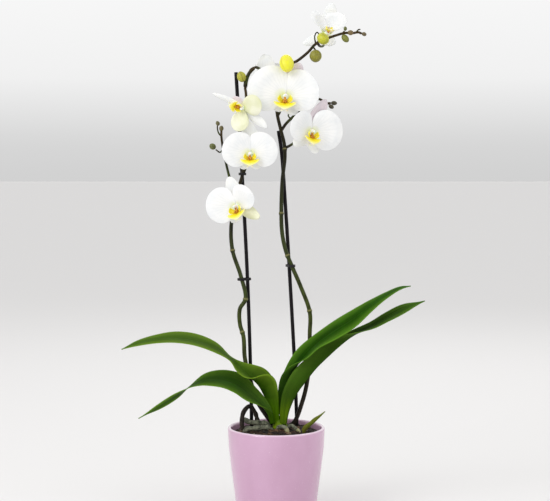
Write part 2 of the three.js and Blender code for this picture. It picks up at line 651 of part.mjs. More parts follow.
// Each bud: centre, direction to its tip, half width and half length.
const BUDS = {
  bud_left_1: { at: [-48, 1, 612], tip: [-0.35, -0.2, 1], size: [6.2, 7.6] },
  bud_left_2: { at: [-88, -0.5, 516], tip: [-1, -0.2, 0.7], size: [4.3, 4.8] },
  bud_left_3: { at: [-76, 3, 541], tip: [0.1, -0.1, 1], size: [3.1, 3.9] },
  bud_left_4: { at: [-81, 3, 548], tip: [-0.5, 0, 1], size: [2.8, 3.4] },
  bud_right_1: { at: [14, -32, 628], tip: [0.1, -0.5, -0.9], size: [9.8, 13.2] },
  bud_right_2: { at: [54, -4, 640], tip: [0, -0.2, -1], size: [8.4, 8.8] },
  bud_right_3: { at: [64, -11, 663], tip: [0.5, -0.6, -0.35], size: [8.2, 9.4] },
  bud_right_4: { at: [95, 2, 664.5], tip: [0.5, -0.2, -0.6], size: [4.6, 6.4] },
  bud_right_5: { at: [102, -2.5, 672], tip: [0.8, -0.6, -0.1], size: [3.6, 4.4] },
  bud_right_6: { at: [95, 3, 678], tip: [0, 0, 1], size: [2.4, 3.0] },
  bud_right_7: { at: [121, 3, 670.5], tip: [1, 0, -0.4], size: [2.8, 3.4] },
  bud_right_8: { at: [80, 6, 576], tip: [1, -0.1, -0.1], size: [3.0, 4.2] },
  bud_right_9: { at: [76, 3.2, 571], tip: [0.8, -0.3, -0.5], size: [3.0, 4.0] },
};

const bud = ({ at, tip, size: [wide, long] }, extra = 0) => (
  egg(at, [wide + extra, wide * 0.94 + extra, long + extra], tip, wide > 5 ? 8 : 7, wide > 5 ? 5 : 4)
);

// ---------------------------------------------------------------- bark

// Bark chips lie heaped on the mix. Every stem, stake and root has its own plain hole in it.
function bark(holes) {
  const height = (radius) => BARK_LEVEL + BARK_HEAP * (1 - (radius / BARK_RADIUS) ** 2);
  const under = [
    [0, 9.2], [41.4, 9.2], [47.8, 16.4], [51.6, 38.4], [58.4, 106],
    [58.5, 108.9], [60.6, 109], [BARK_RADIUS, 112],
  ];
  const over = [61, 44, 20, 0].map((radius) => [radius, height(radius)]);
  const mix = turned([...under, ...over], 20);
  const random = randomFrom(41);
  const chips = [];
  for (let k = 0; k < CHIP_COUNT; k += 1) {
    const radius = 8 + 46 * Math.sqrt((k + 0.5) / CHIP_COUNT);
    const angle = k * 2.39996 + 0.5 * random();
    const chip = new THREE.BoxGeometry(9 + 8 * random(), 6 + 6 * random(), 3.5 + 3 * random());
    chip.rotateX(1.1 * (random() - 0.5)).rotateY(1.1 * (random() - 0.5)).rotateZ(Math.PI * random());
    const rise = height(radius) + 2.4 * (random() - 0.4);
    chip.translate(radius * Math.cos(angle), radius * Math.sin(angle), rise);
    chips.push(solid(chip));
  }
  const wall = new THREE.CylinderGeometry(BARK_RADIUS, BARK_RADIUS, 140, 20).rotateX(Math.PI / 2);
  const heap = join([mix, ...chips]).intersect(solid(wall.translate(0, 0, 74)));
  return cut(heap, holes);
}

// ---------------------------------------------------------------- the whole plant

const leafNames = Object.keys(LEAVES);
const rootNames = Object.keys(ROOTS);
const spikeNames = Object.keys(SPIKES);
const stakeNames = Object.keys(STAKES);

const stemsAndRoots = [
  ...rootNames.map((name) => root(name, GAP)),
  ...spikeNames.map((name) => spike(name, GAP)),
];
const inBark = [
  crownStem(GAP), leafHole("young_leaf"),
  ...stemsAndRoots, ...stakeNames.map((name) => stake(name, GAP)),
];

add("pot", pot(), "glaze");
add("grow_pot", growPot(), "black_plastic");
add("bark_mix", bark(inBark), "bark");
add("crown", cut(crownStem(), [...stemsAndRoots, ...leafNames.map(leafHole)]), "crown");
for (const name of rootNames) add(name, root(name), name === "root_old" ? "old_root" : "root");
for (const name of leafNames) add(name, leaf(name), "leaf");

const budSolids = Object.values(BUDS).map((one) => bud(one, GAP));
const hubs = Object.values(BLOOMS).map((bloom) => placed(hub(GAP / bloom.size), bloom));
for (const name of spikeNames) add(name, cut(spike(name), [...budSolids, ...hubs]), "spike");
for (const name of stakeNames) add(name, stake(name), "black_plastic");
for (const name of Object.keys(CLIPS)) add(name, clip(name), "black_plastic");
for (const [name, bloom] of Object.entries(BLOOMS)) {
  add(name, placed(bloomWhite(bloom), bloom), "petal");
  add(`${name}_lip`, placed(bloomLip(bloom), bloom), "lip");
}
for (const [name, one] of Object.entries(BUDS)) add(name, bud(one), "bud");

export default group;
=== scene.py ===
# A white moth orchid with two flower spikes, potted in bark in a glazed pink pot.
# The tables below are in millimetres; every mesh is made in metres in the frame's own place.
import bisect
import math
import random

import bpy
import bmesh
from mathutils import Matrix, Vector


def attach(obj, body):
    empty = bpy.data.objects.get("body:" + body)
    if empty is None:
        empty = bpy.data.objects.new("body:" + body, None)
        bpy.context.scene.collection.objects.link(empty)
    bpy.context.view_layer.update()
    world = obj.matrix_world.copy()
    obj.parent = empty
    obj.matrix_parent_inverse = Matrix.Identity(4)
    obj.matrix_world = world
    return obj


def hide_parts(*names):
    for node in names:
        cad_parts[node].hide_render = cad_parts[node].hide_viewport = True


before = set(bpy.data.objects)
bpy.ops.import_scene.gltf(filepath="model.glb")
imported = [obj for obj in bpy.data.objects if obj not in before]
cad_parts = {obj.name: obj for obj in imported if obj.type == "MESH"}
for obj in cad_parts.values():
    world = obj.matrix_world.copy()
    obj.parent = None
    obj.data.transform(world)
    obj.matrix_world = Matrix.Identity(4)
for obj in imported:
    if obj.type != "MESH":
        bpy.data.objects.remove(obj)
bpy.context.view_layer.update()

MM = 0.001

# ---------------------------------------------------------------- camera, floor and light
# Not part of the plant: a camera two metres off, looking a little down, a pale floor, a surround
# that is grey at the horizon and brightest just above it, and three large soft lamps.

CAMERA_PLACE = (-1.82, -2000, 499)
CAMERA_TILT = 3.6363  # degrees below the level
LENS, SENSOR_WIDTH = 94.427, 36.0
FARTHEST_SEEN = 200  # metres
FLOOR_SIZE = 60.0  # metres
FLOOR_COLOUR, FLOOR_ROUGHNESS = (0.77, 0.76, 0.755, 1), 0.7
SURROUND = [  # height, brightness
    (0.0, 0.70), (0.494, 0.64), (0.506, 0.68), (0.528, 0.88), (0.56, 0.94), (1.0, 0.86)]
LAMPS = {  # place and aim in metres, size of the lamp, power in watts
    "lamp_left": ((-1.5, -1.4, 1.5), (0, 0, 0.35), 1.1, 18.5),
    "lamp_right": ((1.7, -1.2, 1.3), (0, 0, 0.4), 1.4, 5),
    "lamp_behind": ((0.3, 1.6, 1.8), (0, 0, 0.45), 1.4, 8),
}

scene = bpy.context.scene
scene.view_settings.view_transform = "Standard"


def placed_in_scene(name, data):
    made = bpy.data.objects.new(name, data)
    scene.collection.objects.link(made)
    return made


camera = placed_in_scene("camera", bpy.data.cameras.new("camera"))
camera.data.lens = LENS
camera.data.sensor_width = SENSOR_WIDTH
camera.data.clip_end = FARTHEST_SEEN
camera.location = Vector(CAMERA_PLACE) * MM
camera.rotation_euler = (math.radians(90 - CAMERA_TILT), 0, 0)
scene.camera = camera

for lamp_name, (place, aim, size, power) in LAMPS.items():
    lamp = placed_in_scene(lamp_name, bpy.data.lights.new(lamp_name, "AREA"))
    lamp.data.size = size
    lamp.data.energy = power
    lamp.location = place
    lamp.rotation_euler = (Vector(aim) - Vector(place)).to_track_quat("-Z", "Y").to_euler()

surround = bpy.data.worlds.new("surround")
surround.use_nodes = True
parts = surround.node_tree.nodes
outward = parts.new("ShaderNodeTexCoord")
upward = parts.new("ShaderNodeSeparateXYZ")
share_up = parts.new("ShaderNodeMapRange")
share_up.inputs["From Min"].default_value = -1
glow = parts.new("ShaderNodeValToRGB")
for _ in SURROUND[2:]:
    glow.color_ramp.elements.new(0.5)
for element, (height, level) in zip(glow.color_ramp.elements, SURROUND):
    element.position = height
    element.color = (level, level, level, 1)
for source, target in (
        (outward.outputs["Generated"], upward.inputs["Vector"]),
        (upward.outputs["Z"], share_up.inputs["Value"]),
        (share_up.outputs["Result"], glow.inputs["Fac"]),
        (glow.outputs["Color"], parts["Background"].inputs["Color"])):
    surround.node_tree.links.new(source, target)
scene.world = surround

half_floor = FLOOR_SIZE / 2
floor_corners = [(-half_floor, -half_floor, 0), (half_floor, -half_floor, 0),
                 (half_floor, half_floor, 0), (-half_floor, half_floor, 0)]
floor_mesh = bpy.data.meshes.new("floor")
floor_mesh.from_pydata(floor_corners, [], [(0, 1, 2, 3)])
floor = placed_in_scene("floor", floor_mesh)
floor_paint = bpy.data.materials.new("floor_paint")
floor_paint.use_nodes = True
floor_inputs = floor_paint.node_tree.nodes["Principled BSDF"].inputs
floor_inputs["Base Color"].default_value = FLOOR_COLOUR
floor_inputs["Roughness"].default_value = FLOOR_ROUGHNESS
floor_mesh.materials.append(floor_paint)

# ---------------------------------------------------------------- glazed pot
# A slip-cast earthenware pot, open at the top, with a soft rounded rim and a dry foot.
# Its pink-lilac glaze is glossy, a little uneven, and painted pale over the rim: thin glaze there,
# and a painted highlight.

POT_OUTSIDE = [  # radius, height
    (0, 0), (48.4, 0), (49.6, 0.2), (52.8, 1.4), (54.7, 6), (57.3, 19), (60, 42), (63.6, 69),
    (67, 98), (68, 121), (67.85, 122.8), (67.1, 124.1), (66.3, 124.75), (65.5, 125),
]
POT_INSIDE = [
    (64.6, 124.75), (63.8, 124.1), (63.2, 122.9), (63, 121), (60.6, 90), (54.8, 38), (51, 14),
    (44, 7), (0, 7),
]
POT_TURNS = 144
GLAZE_LILAC, GLAZE_DEEP, GLAZE_THIN = (207, 167, 195), (194, 152, 180), (234, 210, 226)
BISCUIT = (206, 188, 170)  # the bare clay of the foot
POT_HEIGHT = 125
GLAZE_THINS, GLAZE_THINNEST = POT_HEIGHT - 2.2, POT_HEIGHT - 0.2  # heights towards the rim of the pale band: thin glaze and painted highlight
GLAZE_ENDS, CLAY_STARTS = 0.9, 0.3  # heights towards the foot


def colour(red, green, blue):
    """A colour from its 0 to 255 display values."""
    shares = [value / 255 for value in (red, green, blue)]
    return (*[s / 12.92 if s <= 0.04045 else ((s + 0.055) / 1.055) ** 2.4 for s in shares], 1)


class Finish:
    """A material: its patches, ramps and mixes end in one shader, which has the fixed values."""

    def __init__(self, name, **fixed):
        self.material = bpy.data.materials.new(name)
        self.material.use_nodes = True
        self.tree = self.material.node_tree
        self.shader = self.tree.nodes["Principled BSDF"]
        for socket, value in fixed.items():
            self.shader.inputs[socket.replace("_", " ")].default_value = value

    def node(self, kind, inputs=None, **settings):
        """A node with its settings and its inputs, each a value or another socket."""
        made = self.tree.nodes.new("ShaderNode" + kind)
        for setting, value in settings.items():
            setattr(made, setting, value)
        for key, value in (inputs or {}).items():
            socket = made.inputs[key]
            if isinstance(value, bpy.types.NodeSocket):
                self.tree.links.new(value, socket)
            else:
                socket.default_value = colour(*value) if socket.type == "RGBA" else value
        return made

    def patches(self, across_mm, stretch=(1, 1, 1), detail=3.0):
        """Soft random patches of this size over the object, from 0 to 1."""
        place = self.node("TexCoord").outputs["Object"]
        place = self.node("Mapping", {"Vector": place, "Scale": stretch}).outputs["Vector"]
        inputs = {"Vector": place, "Scale": 1000 / across_mm, "Detail": detail}
        return self.node("TexNoise", inputs).outputs["Fac"]

    def ramp(self, share, *stops):
        """A colour or a grey that goes through the stops, each a place on the share and a shade."""
        made = self.node("ValToRGB", {"Fac": share})
        elements = made.color_ramp.elements
        while len(elements) < len(stops):
            elements.new(0.5)
        for element, (at, shade) in zip(elements, stops):
            element.position = at
            element.color = colour(*shade) if isinstance(shade, tuple) else (shade, shade, shade, 1)
        return made.outputs["Color"]

    def mottle(self, across_mm, low, high, **how):
        """Patches that go from the low shade to the high one."""
        return self.ramp(self.patches(across_mm, **how), (0.3, low), (0.8, high))

    def math(self, operation, *values):
        """The result of a Math node."""
        return self.node("Math", dict(enumerate(values)), operation=operation).outputs[0]

    def times(self, first, second):
        return self.math("MULTIPLY", first, second)

    def paint(self, share, shade, way="MIX"):
        """Lays a shade over the colour so far, by a share."""
        below, above, result = 6, 7, 2  # the colour sockets of a Mix node
        mix = self.node("Mix", {0: share, below: self.base, above: shade}, data_type="RGBA",
                        blend_type=way)
        self.base = mix.outputs[result]

    def dress(self, rough, relief, depth_mm, strength=0.5):
        """Joins the colour, the bump and, where it varies, the roughness to the shader."""
        bump = self.node("Bump", {
            "Height": relief, "Distance": depth_mm * MM, "Strength": strength})
        self.tree.links.new(self.base, self.shader.inputs["Base Color"])
        self.tree.links.new(bump.outputs["Normal"], self.shader.inputs["Normal"])
        if rough is not None:
            self.tree.links.new(rough, self.shader.inputs["Roughness"])


def turned_shell(profile, turns):
    """Points and faces of a turned body, from radii and heights that start and end on the axis."""
    points, faces, rings = [], [], []
    for radius, height in profile:
        if radius == 0:
            rings.append([len(points)])
            points.append((0, 0, height))
        else:
            rings.append(list(range(len(points), len(points) + turns)))
            for k in range(turns):
                angle = 2 * math.pi * k / turns
                points.append((radius * math.cos(angle), radius * math.sin(angle), height))
    for lower, upper in zip(rings, rings[1:]):
        for k in range(turns):
            after = (k + 1) % turns
            if len(lower) == 1:
                faces.append((lower[0], upper[after], upper[k]))
            elif len(upper) == 1:
                faces.append((lower[k], lower[after], upper[0]))
            else:
                faces.append((lower[k], lower[after], upper[after], upper[k]))
    return points, faces


def mesh_piece(name, points, faces, finishes, uvs=None, tones=None, finish_of_face=None):
    """A smooth mesh object in metres from points in millimetres, with its faces turned outward."""
    mesh = bpy.data.meshes.new(name)
    mesh.from_pydata([Vector(p) * MM for p in points], [], faces)
    for one in finishes:
        mesh.materials.append(one.material)
    if finish_of_face:
        mesh.polygons.foreach_set("material_index", finish_of_face)
    if uvs:
        layer = mesh.uv_layers.new(name="surface")
        for corner in mesh.loops:
            layer.data[corner.index].uv = uvs[corner.vertex_index]
    for tone_name, values in (tones or {}).items():
        mesh.attributes.new(tone_name, "FLOAT", "POINT").data.foreach_set("value", values)
    shape = bmesh.new()
    shape.from_mesh(mesh)
    bmesh.ops.recalc_face_normals(shape, faces=shape.faces)
    shape.to_mesh(mesh)
    shape.free()
    mesh.shade_smooth()
    return placed_in_scene(name, mesh)


def ready(piece, slot_name, *nodes):
    """The piece rides on the one body and stands for these nodes of the frame."""
    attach(piece, "root")
    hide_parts(*nodes)


glaze = Finish("pink_glaze", IOR=1.52, Coat_Weight=0.55, Coat_Roughness=0.06,
               Subsurface_Weight=0.06, Subsurface_Radius=(0.6, 0.5, 0.55), Subsurface_Scale=0.003)
pot_place = glaze.node("TexCoord").outputs["Object"]
pot_height = glaze.node("SeparateXYZ", {"Vector": pot_place}).outputs["Z"]
at_rim, at_foot = (
    glaze.node("MapRange", {"Value": pot_height, "From Min": first * MM,
                            "From Max": last * MM}).outputs["Result"]
    for first, last in ((GLAZE_THINS, GLAZE_THINNEST), (GLAZE_ENDS, CLAY_STARTS)))
glaze.base = glaze.ramp(glaze.patches(60, (1, 1, 0.6)), (0.3, GLAZE_LILAC), (0.75, GLAZE_DEEP))
glaze.paint(glaze.ramp(glaze.patches(1.6, detail=1.0), (0.68, 0.0), (0.8, 0.35)), GLAZE_THIN)
# Painted highlight on the rim's top, laid with the glaze that runs thin and pale there.
glaze.paint(at_rim, GLAZE_THIN)
glaze.paint(at_foot, BISCUIT)
glaze_rough = glaze.math("ADD", glaze.mottle(9, 0.12, 0.24), glaze.times(at_foot, 0.5))
glaze_ripple = glaze.math(
    "ADD", glaze.patches(22, detail=1.0), glaze.times(glaze.patches(1.5), 0.08))
glaze.dress(glaze_rough, glaze_ripple, 0.5, 0.35)

pot = mesh_piece("glazed_pot", *turned_shell(POT_OUTSIDE + POT_INSIDE, POT_TURNS), [glaze])
ready(pot, "pot_glaze", "pot")

# ---------------------------------------------------------------- grow pot
# The thin black plastic pot that the plant was raised in, dropped into the glazed one.
# It stays as the frame has it, and gets the satin skin of vacuum-formed plastic.

grow_plastic = Finish("grow_pot_plastic", Specular_IOR_Level=0.45)
grow_plastic.base = grow_plastic.mottle(14, (26, 25, 26), (44, 42, 42))
grow_plastic.dress(grow_plastic.mottle(5, 0.4, 0.62), grow_plastic.patches(0.9), 0.05, 0.4)
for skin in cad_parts["grow_pot"].material_slots:
    skin.material = grow_plastic.material

# ---------------------------------------------------------------- bark mix
# Orchid mix of dark, damp fir bark: a heap of fine stuff with loose chips lying on it.
# The chips are scattered over the heap's top and turned at random.

BARK_LEVEL, BARK_HEAP, BARK_RADIUS = 116, 7, 61.4
BARK_UNDERSIDE = [(0, 9.2), (41.4, 9.2), (47.8, 16.4), (51.6, 38.4), (58.4, 106), (58.5, 108.9),
                  (60.6, 109), (61.4, 112)]
BARK_TOP_RADII = (61.2, 58, 54, 49, 44, 39, 34, 29, 24, 19, 14, 9, 4, 0)
BARK_TURNS = 96
LITTER_RADIUS = 55
FACES_UP = 0.3  # the least upward share of a face that chips lie on
CHIP_SPACING, CHIP_SMALLEST, CHIP_LARGEST = 4.2, 5.0, 11.0
CHIP_KINDS, CHIP_BEVEL, CHIP_TAPER, CHIP_UNEVEN = 4, 0.12, 0.25, 0.05
CHIP_WIDTHS, CHIP_DEPTHS = (0.55, 0.9), (0.3, 0.5)  # shares of a chip's length
CHIP_LEAN, CHIP_TURN = 0.55, 6.28
CHIPS_AT_MOST = 200000.0  # in a square metre
BARK_SEED = 7


def bark_height(radius):
    return BARK_LEVEL + BARK_HEAP * (1 - (radius / BARK_RADIUS) ** 2)


def tone(finish, name):
    """A number that the mesh carries at each point."""
    return finish.node("Attribute", attribute_name=name).outputs["Fac"]


soil = Finish("bark_fines", Roughness=0.92)
soil.base = soil.ramp(soil.patches(3.5, detail=6), (0.3, (18, 12, 9)), (0.55, (38, 26, 19)),
                      (0.8, (74, 52, 36)))
soil.dress(None, soil.patches(2.5, detail=6), 1.6, 0.9)

chip_bark = Finish("bark_chip")
chip_bark.base = chip_bark.ramp(
    tone(chip_bark, "chip_tone"), (0.0, (30, 20, 14)), (0.45, (62, 42, 30)), (0.8, (104, 74, 50)),
    (0.93, (132, 104, 74)), (1.0, (196, 182, 158)))
chip_flake = chip_bark.patches(2.2, (1, 1, 3), detail=5)
chip_bark.paint(0.75, chip_bark.ramp(chip_flake, (0.35, (14, 10, 8)), (0.7, (255, 250, 240))),
                "MULTIPLY")
chip_bark.dress(
    chip_bark.mottle(3, 0.7, 0.95), chip_bark.patches(1.3, (1, 1, 4), detail=5), 0.7, 0.9)

heap_top = [(radius, bark_height(radius)) for radius in BARK_TOP_RADII]
heap = mesh_piece("bark_mix_dressed", *turned_shell(BARK_UNDERSIDE + heap_top, BARK_TURNS), [soil])
litter = heap.data.attributes.new("litter", "BOOLEAN", "FACE")
litter.data.foreach_set("value", [
    face.normal.z > FACES_UP and face.center.xy.length < LITTER_RADIUS * MM
    and face.center.z > BARK_LEVEL * MM
    for face in heap.data.polygons])

dice = random.Random(BARK_SEED)
chip_shapes = bpy.data.collections.new("chip_shapes")
for number in range(CHIP_KINDS):
    shape = bmesh.new()
    bmesh.ops.create_cube(shape, size=1)
    bmesh.ops.bevel(shape, geom=shape.edges[:], offset=CHIP_BEVEL, segments=1, affect="EDGES")
    width, thickness = dice.uniform(*CHIP_WIDTHS), dice.uniform(*CHIP_DEPTHS)
    for corner in shape.verts:
        corner.co.x *= 1 + CHIP_TAPER * corner.co.y
        corner.co = Vector((corner.co.x, corner.co.y * width, corner.co.z * thickness))
        corner.co += Vector([dice.uniform(-CHIP_UNEVEN, CHIP_UNEVEN) for _ in range(3)])
    chip_mesh = bpy.data.meshes.new(f"chip_shape_{number}")
    shape.to_mesh(chip_mesh)
    shape.free()
    chip_shapes.objects.link(bpy.data.objects.new(f"chip_shape_{number}", chip_mesh))


def new_tree(name, sockets):
    """An empty node tree for a shape, with its named inputs."""
    tree = bpy.data.node_groups.new(name, "GeometryNodeTree")
    tree.interface.new_socket("Geometry", in_out="OUTPUT", socket_type="NodeSocketGeometry")
    tree.interface.new_socket("Geometry", in_out="INPUT", socket_type="NodeSocketGeometry")
    for socket, kind in sockets.items():
        tree.interface.new_socket(socket, in_out="INPUT", socket_type=kind)
    return tree, tree.nodes.new("NodeGroupInput").outputs, tree.nodes.new("NodeGroupOutput").inputs


def step(tree, kind, inputs=None, **settings):
    """A node of a shape's tree. Inputs are given by name or by number."""
    made = tree.nodes.new(kind if kind.startswith("Function") else "GeometryNode" + kind)
    for setting, value in settings.items():
        setattr(made, setting, value)
    for socket, value in (inputs or {}).items():
        for one in value if isinstance(value, list) else [value]:
            if isinstance(one, bpy.types.NodeSocket):
                tree.links.new(one, made.inputs[socket])
            else:
                made.inputs[socket].default_value = one
    return made


def shaped_by(source, tree, values):
    """The plain mesh that a tree makes of an object, once the tree's inputs are set."""
    maker = source.modifiers.new(tree.name, "NODES")
    maker.node_group = tree
    for socket in tree.interface.items_tree:
        if socket.in_out == "INPUT" and socket.name in values:
            maker[socket.identifier] = values[socket.name]
    scene.view_layers[0].update()
    result = source.evaluated_get(bpy.context.evaluated_depsgraph_get())
    mesh = bpy.data.meshes.new_from_object(result)
    source.modifiers.remove(maker)
    name = source.name
    bpy.data.objects.remove(source)
    mesh.name = name
    return placed_in_scene(name, mesh)


chip_tree, given, out = new_tree("scattered_chips", {
    "Spacing": "NodeSocketFloat", "Smallest": "NodeSocketFloat", "Largest": "NodeSocketFloat",
    "Seed": "NodeSocketInt", "Chips": "NodeSocketCollection", "Chip Finish": "NodeSocketMaterial"})
on_litter = step(chip_tree, "InputNamedAttribute", {"Name": "litter"}, data_type="BOOLEAN")
spots = step(chip_tree, "DistributePointsOnFaces", {
    "Mesh": given["Geometry"], "Selection": on_litter.outputs["Attribute"],
    "Distance Min": given["Spacing"], "Density Max": CHIPS_AT_MOST, "Seed": given["Seed"]},
    distribute_method="POISSON")
lean = step(chip_tree, "FunctionNodeRandomValue", {
    0: (-CHIP_LEAN, -CHIP_LEAN, 0.0), 1: (CHIP_LEAN, CHIP_LEAN, CHIP_TURN)},
    data_type="FLOAT_VECTOR")
size = step(chip_tree, "FunctionNodeRandomValue", {
    2: given["Smallest"], 3: given["Largest"], "Seed": 3}, data_type="FLOAT")
kinds = step(chip_tree, "CollectionInfo", {
    "Collection": given["Chips"], "Separate Children": True, "Reset Children": True})
turn = step(chip_tree, "FunctionNodeEulerToRotation", {"Euler": lean.outputs["Value"]})
laid = step(chip_tree, "InstanceOnPoints", {
    "Points": spots.outputs["Points"], "Instance": kinds.outputs["Instances"],
    "Pick Instance": True, "Rotation": turn.outputs["Rotation"], "Scale": size.outputs[1]})
shade = step(chip_tree, "FunctionNodeRandomValue", {2: 0.0, 3: 1.0, "Seed": 5}, data_type="FLOAT")
toned = step(chip_tree, "StoreNamedAttribute", {
    "Geometry": laid.outputs["Instances"], "Name": "chip_tone", "Value": shade.outputs[1]},
    domain="INSTANCE")
loose = step(chip_tree, "RealizeInstances", {"Geometry": toned.outputs["Geometry"]})
dressed = step(chip_tree, "SetMaterial", {"Geometry": loose.outputs["Geometry"],
                                          "Material": given["Chip Finish"]})
both = step(chip_tree, "JoinGeometry", {
    "Geometry": [given["Geometry"], dressed.outputs["Geometry"]]})
chip_tree.links.new(both.outputs["Geometry"], out["Geometry"])
bark = shaped_by(heap, chip_tree, {
    "Spacing": CHIP_SPACING * MM, "Smallest": CHIP_SMALLEST * MM, "Largest": CHIP_LARGEST * MM,
    "Seed": BARK_SEED, "Chips": chip_shapes, "Chip Finish": chip_bark.material})
ready(bark, "bark", "bark_mix")

# ---------------------------------------------------------------- crown and roots
# The crown is the short green stem that the leaves clasp. The roots are fat and grey-green with
# a corky skin, and have pale growing tips; they climb out of the bark and dive back into it.

CROWN_ROUTE = [(5, -3, 100), (5, -3, 116), (5, -3, 126), (5, -3, 134), (5, -3, 141)]
CROWN_RADII = [7, 10.5, 11, 9.6, 7]
ROOT_SHAPE = [0.75, 1, 0.94, 1.04, 0.97, 1, 0.6]
ROOTS = {  # route, radius, and where along it the pale tip starts
    "root_left_back": ([(-8, -7, 118), (-13, -6, 130), (-25, -3, 131), (-38, 3, 131),
                        (-48, 19, 134)], 3.7, 0.9),
    "root_left_front": ([(-4, -12, 122), (-13, -19, 127), (-27, -22, 127), (-40, -20, 125),
                         (-47, -13, 117)], 3.3, 1.1),
    "root_front": ([(4, -14, 118), (3, -17, 127), (12, -24, 128), (17, -30, 120)], 3.0, 0.72),
    "root_right": ([(14, -8, 122), (20, -14, 129), (27, -22, 126), (33, -31, 123)], 2.6, 0.75),
    "root_old": ([(-46, -4, 113), (-48, -4, 130), (-46, -2, 145), (-38, 3, 153), (-31, 7, 146),
                  (-27, 8, 134), (-24, 8, 114)], 3.3, 1.1),
}
ROOT_SWELL, ROOT_LUMPS = (-0.14, 0.1), 24
ROUND_END, BLUNT_END = [0.001, 0.03, 0.12, 0.3, 0.6], [0.001, 0.06]  # a rod's end rings, in radii
BLUNT_REACH, BLUNT_GIRTH = 0.12, 0.82  # in radii, and as a share of the girth
THINNEST = 0.02


def eased(values, share):
    """A value of the list by a share 0 to 1 of its length, going smoothly from one to the next."""
    last = len(values) - 1
    at = min(max(share, 0), 1) * last
    i = min(int(at), last - 1)
    t = at - i
    before, p, q, after = values[max(i - 1, 0)], values[i], values[i + 1], values[min(i + 2, last)]
    slope_p, slope_q = (q - before) / 2, (after - p) / 2
    return ((2 * t**3 - 3 * t**2 + 1) * p + (t**3 - 2 * t**2 + t) * slope_p
            + (3 * t**2 - 2 * t**3) * q + (t**3 - t**2) * slope_q)


def smooth_route(route):
    """A smooth curve through the points: a function of a share 0 to 1."""
    points = [Vector(p) for p in route]
    points = [2 * points[0] - points[1], *points, 2 * points[-1] - points[-2]]
    spans = len(route) - 1

    def at(share):
        place = min(max(share, 0), 1) * spans
        i = min(int(place), spans - 1)
        t = place - i
        p0, p1, p2, p3 = points[i:i + 4]
        d0, d1, d2 = ((b - a).length ** 0.5 for a, b in ((p0, p1), (p1, p2), (p2, p3)))
        out = ((p1 - p0) / d0 - (p2 - p0) / (d0 + d1) + (p2 - p1) / d1) * d1
        into = ((p2 - p1) / d1 - (p3 - p1) / (d1 + d2) + (p3 - p2) / d2) * d1
        return (p1 + out * t + (3 * (p2 - p1) - 2 * out - into) * t**2
                + (2 * (p1 - p2) + out + into) * t**3)
    return at


def measured(route, fine=40):
    """The curve again, by a share of its length, and its length."""
    curve = smooth_route(route)
    steps = fine * (len(route) - 1)
    points = [curve(k / steps) for k in range(steps + 1)]
    lengths = [0.0]
    for a, b in zip(points, points[1:]):
        lengths.append(lengths[-1] + (b - a).length)

    def at(share):
        want = min(max(share, 0), 1) * lengths[-1]
        i = min(max(bisect.bisect_right(lengths, want) - 1, 0), steps - 1)
        return curve((i + (want - lengths[i]) / (lengths[i + 1] - lengths[i])) / steps)
    return at, lengths[-1]


rod_tree, given, out = new_tree("rod_along_route",
                                {"Sides": "NodeSocketInt", "Finish": "NodeSocketMaterial"})
girth = step(rod_tree, "InputNamedAttribute", {"Name": "girth"}, data_type="FLOAT")
ring = step(rod_tree, "CurvePrimitiveCircle", {"Resolution": given["Sides"], "Radius": 1.0})
line = step(rod_tree, "MeshToCurve", {"Mesh": given["Geometry"]})
skin = step(rod_tree, "CurveToMesh", {
    "Curve": line.outputs["Curve"], "Profile Curve": ring.outputs["Curve"],
    "Scale": girth.outputs["Attribute"], "Fill Caps": True})
soft = step(rod_tree, "SetShadeSmooth", {"Geometry": skin.outputs["Mesh"]})
whole = step(rod_tree, "RealizeInstances", {"Geometry": soft.outputs["Geometry"]})
coated = step(rod_tree, "SetMaterial", {"Geometry": whole.outputs["Geometry"],
                                        "Material": given["Finish"]})
rod_tree.links.new(coated.outputs["Geometry"], out["Geometry"])


def rods(name, strands, finish, sides=20, every_mm=1.2):
    """Rods in one piece. A strand is a route, its radius and mark by share, and if it ends blunt."""
    points, edges, girths, shares, marks = [], [], [], [], []
    for route, radius, mark_at, blunt in strands:
        at, length = measured(route)
        count = max(int(length / every_mm), 4)
        first_radius, last_radius = radius(0), radius(1)
        ends = BLUNT_END if blunt else ROUND_END
        stops = [k / count for k in range(1, count)]
        stops += [end * first_radius / length for end in ends]
        stops += [1 - end * last_radius / length for end in ends]
        start = len(points)
        for share in sorted({min(max(s, 0.0), 1.0) for s in stops}):
            near_end = min(share / first_radius, (1 - share) / last_radius) * length
            reach = BLUNT_REACH if blunt else 1.0
            closing = math.sqrt(max(1 - (1 - min(near_end / reach, 1)) ** 2, 0.0))
            closing = BLUNT_GIRTH + (1 - BLUNT_GIRTH) * closing if blunt else closing
            points.append(at(share) * MM)
            girths.append(max(radius(share) * closing, THINNEST) * MM)
            shares.append(share)
            marks.append(mark_at(share))
        edges += [(k, k + 1) for k in range(start, len(points) - 1)]
    mesh = bpy.data.meshes.new(name)
    mesh.from_pydata(points, edges, [])
    for attribute, values in (("girth", girths), ("share", shares), ("mark", marks)):
        mesh.attributes.new(attribute, "FLOAT", "POINT").data.foreach_set("value", values)
    return shaped_by(placed_in_scene(name, mesh), rod_tree,
                     {"Sides": sides, "Finish": finish.material})


crown_skin = Finish("crown_skin", Roughness=0.42, Specular_IOR_Level=0.1)
crown_skin.base = crown_skin.ramp(
    tone(crown_skin, "share"), (0.0, (118, 104, 44)), (0.38, (150, 156, 52)), (0.6, (134, 160, 18)),
    (1.0, (84, 128, 10)))
crown_streak = crown_skin.patches(2.4, (1, 1, 0.15), detail=4)
crown_skin.paint(
    0.8, crown_skin.ramp(crown_streak, (0.35, (150, 165, 120)), (0.65, (255, 255, 255))),
    "MULTIPLY")
crown_skin.dress(None, crown_skin.patches(1.2, (1, 1, 0.12)), 0.3)
crown = rods("crown_stem", [(CROWN_ROUTE, lambda s: eased(CROWN_RADII, s), lambda s: 0.0, False)],
             crown_skin, 40)
ready(crown, "crown", "crown")


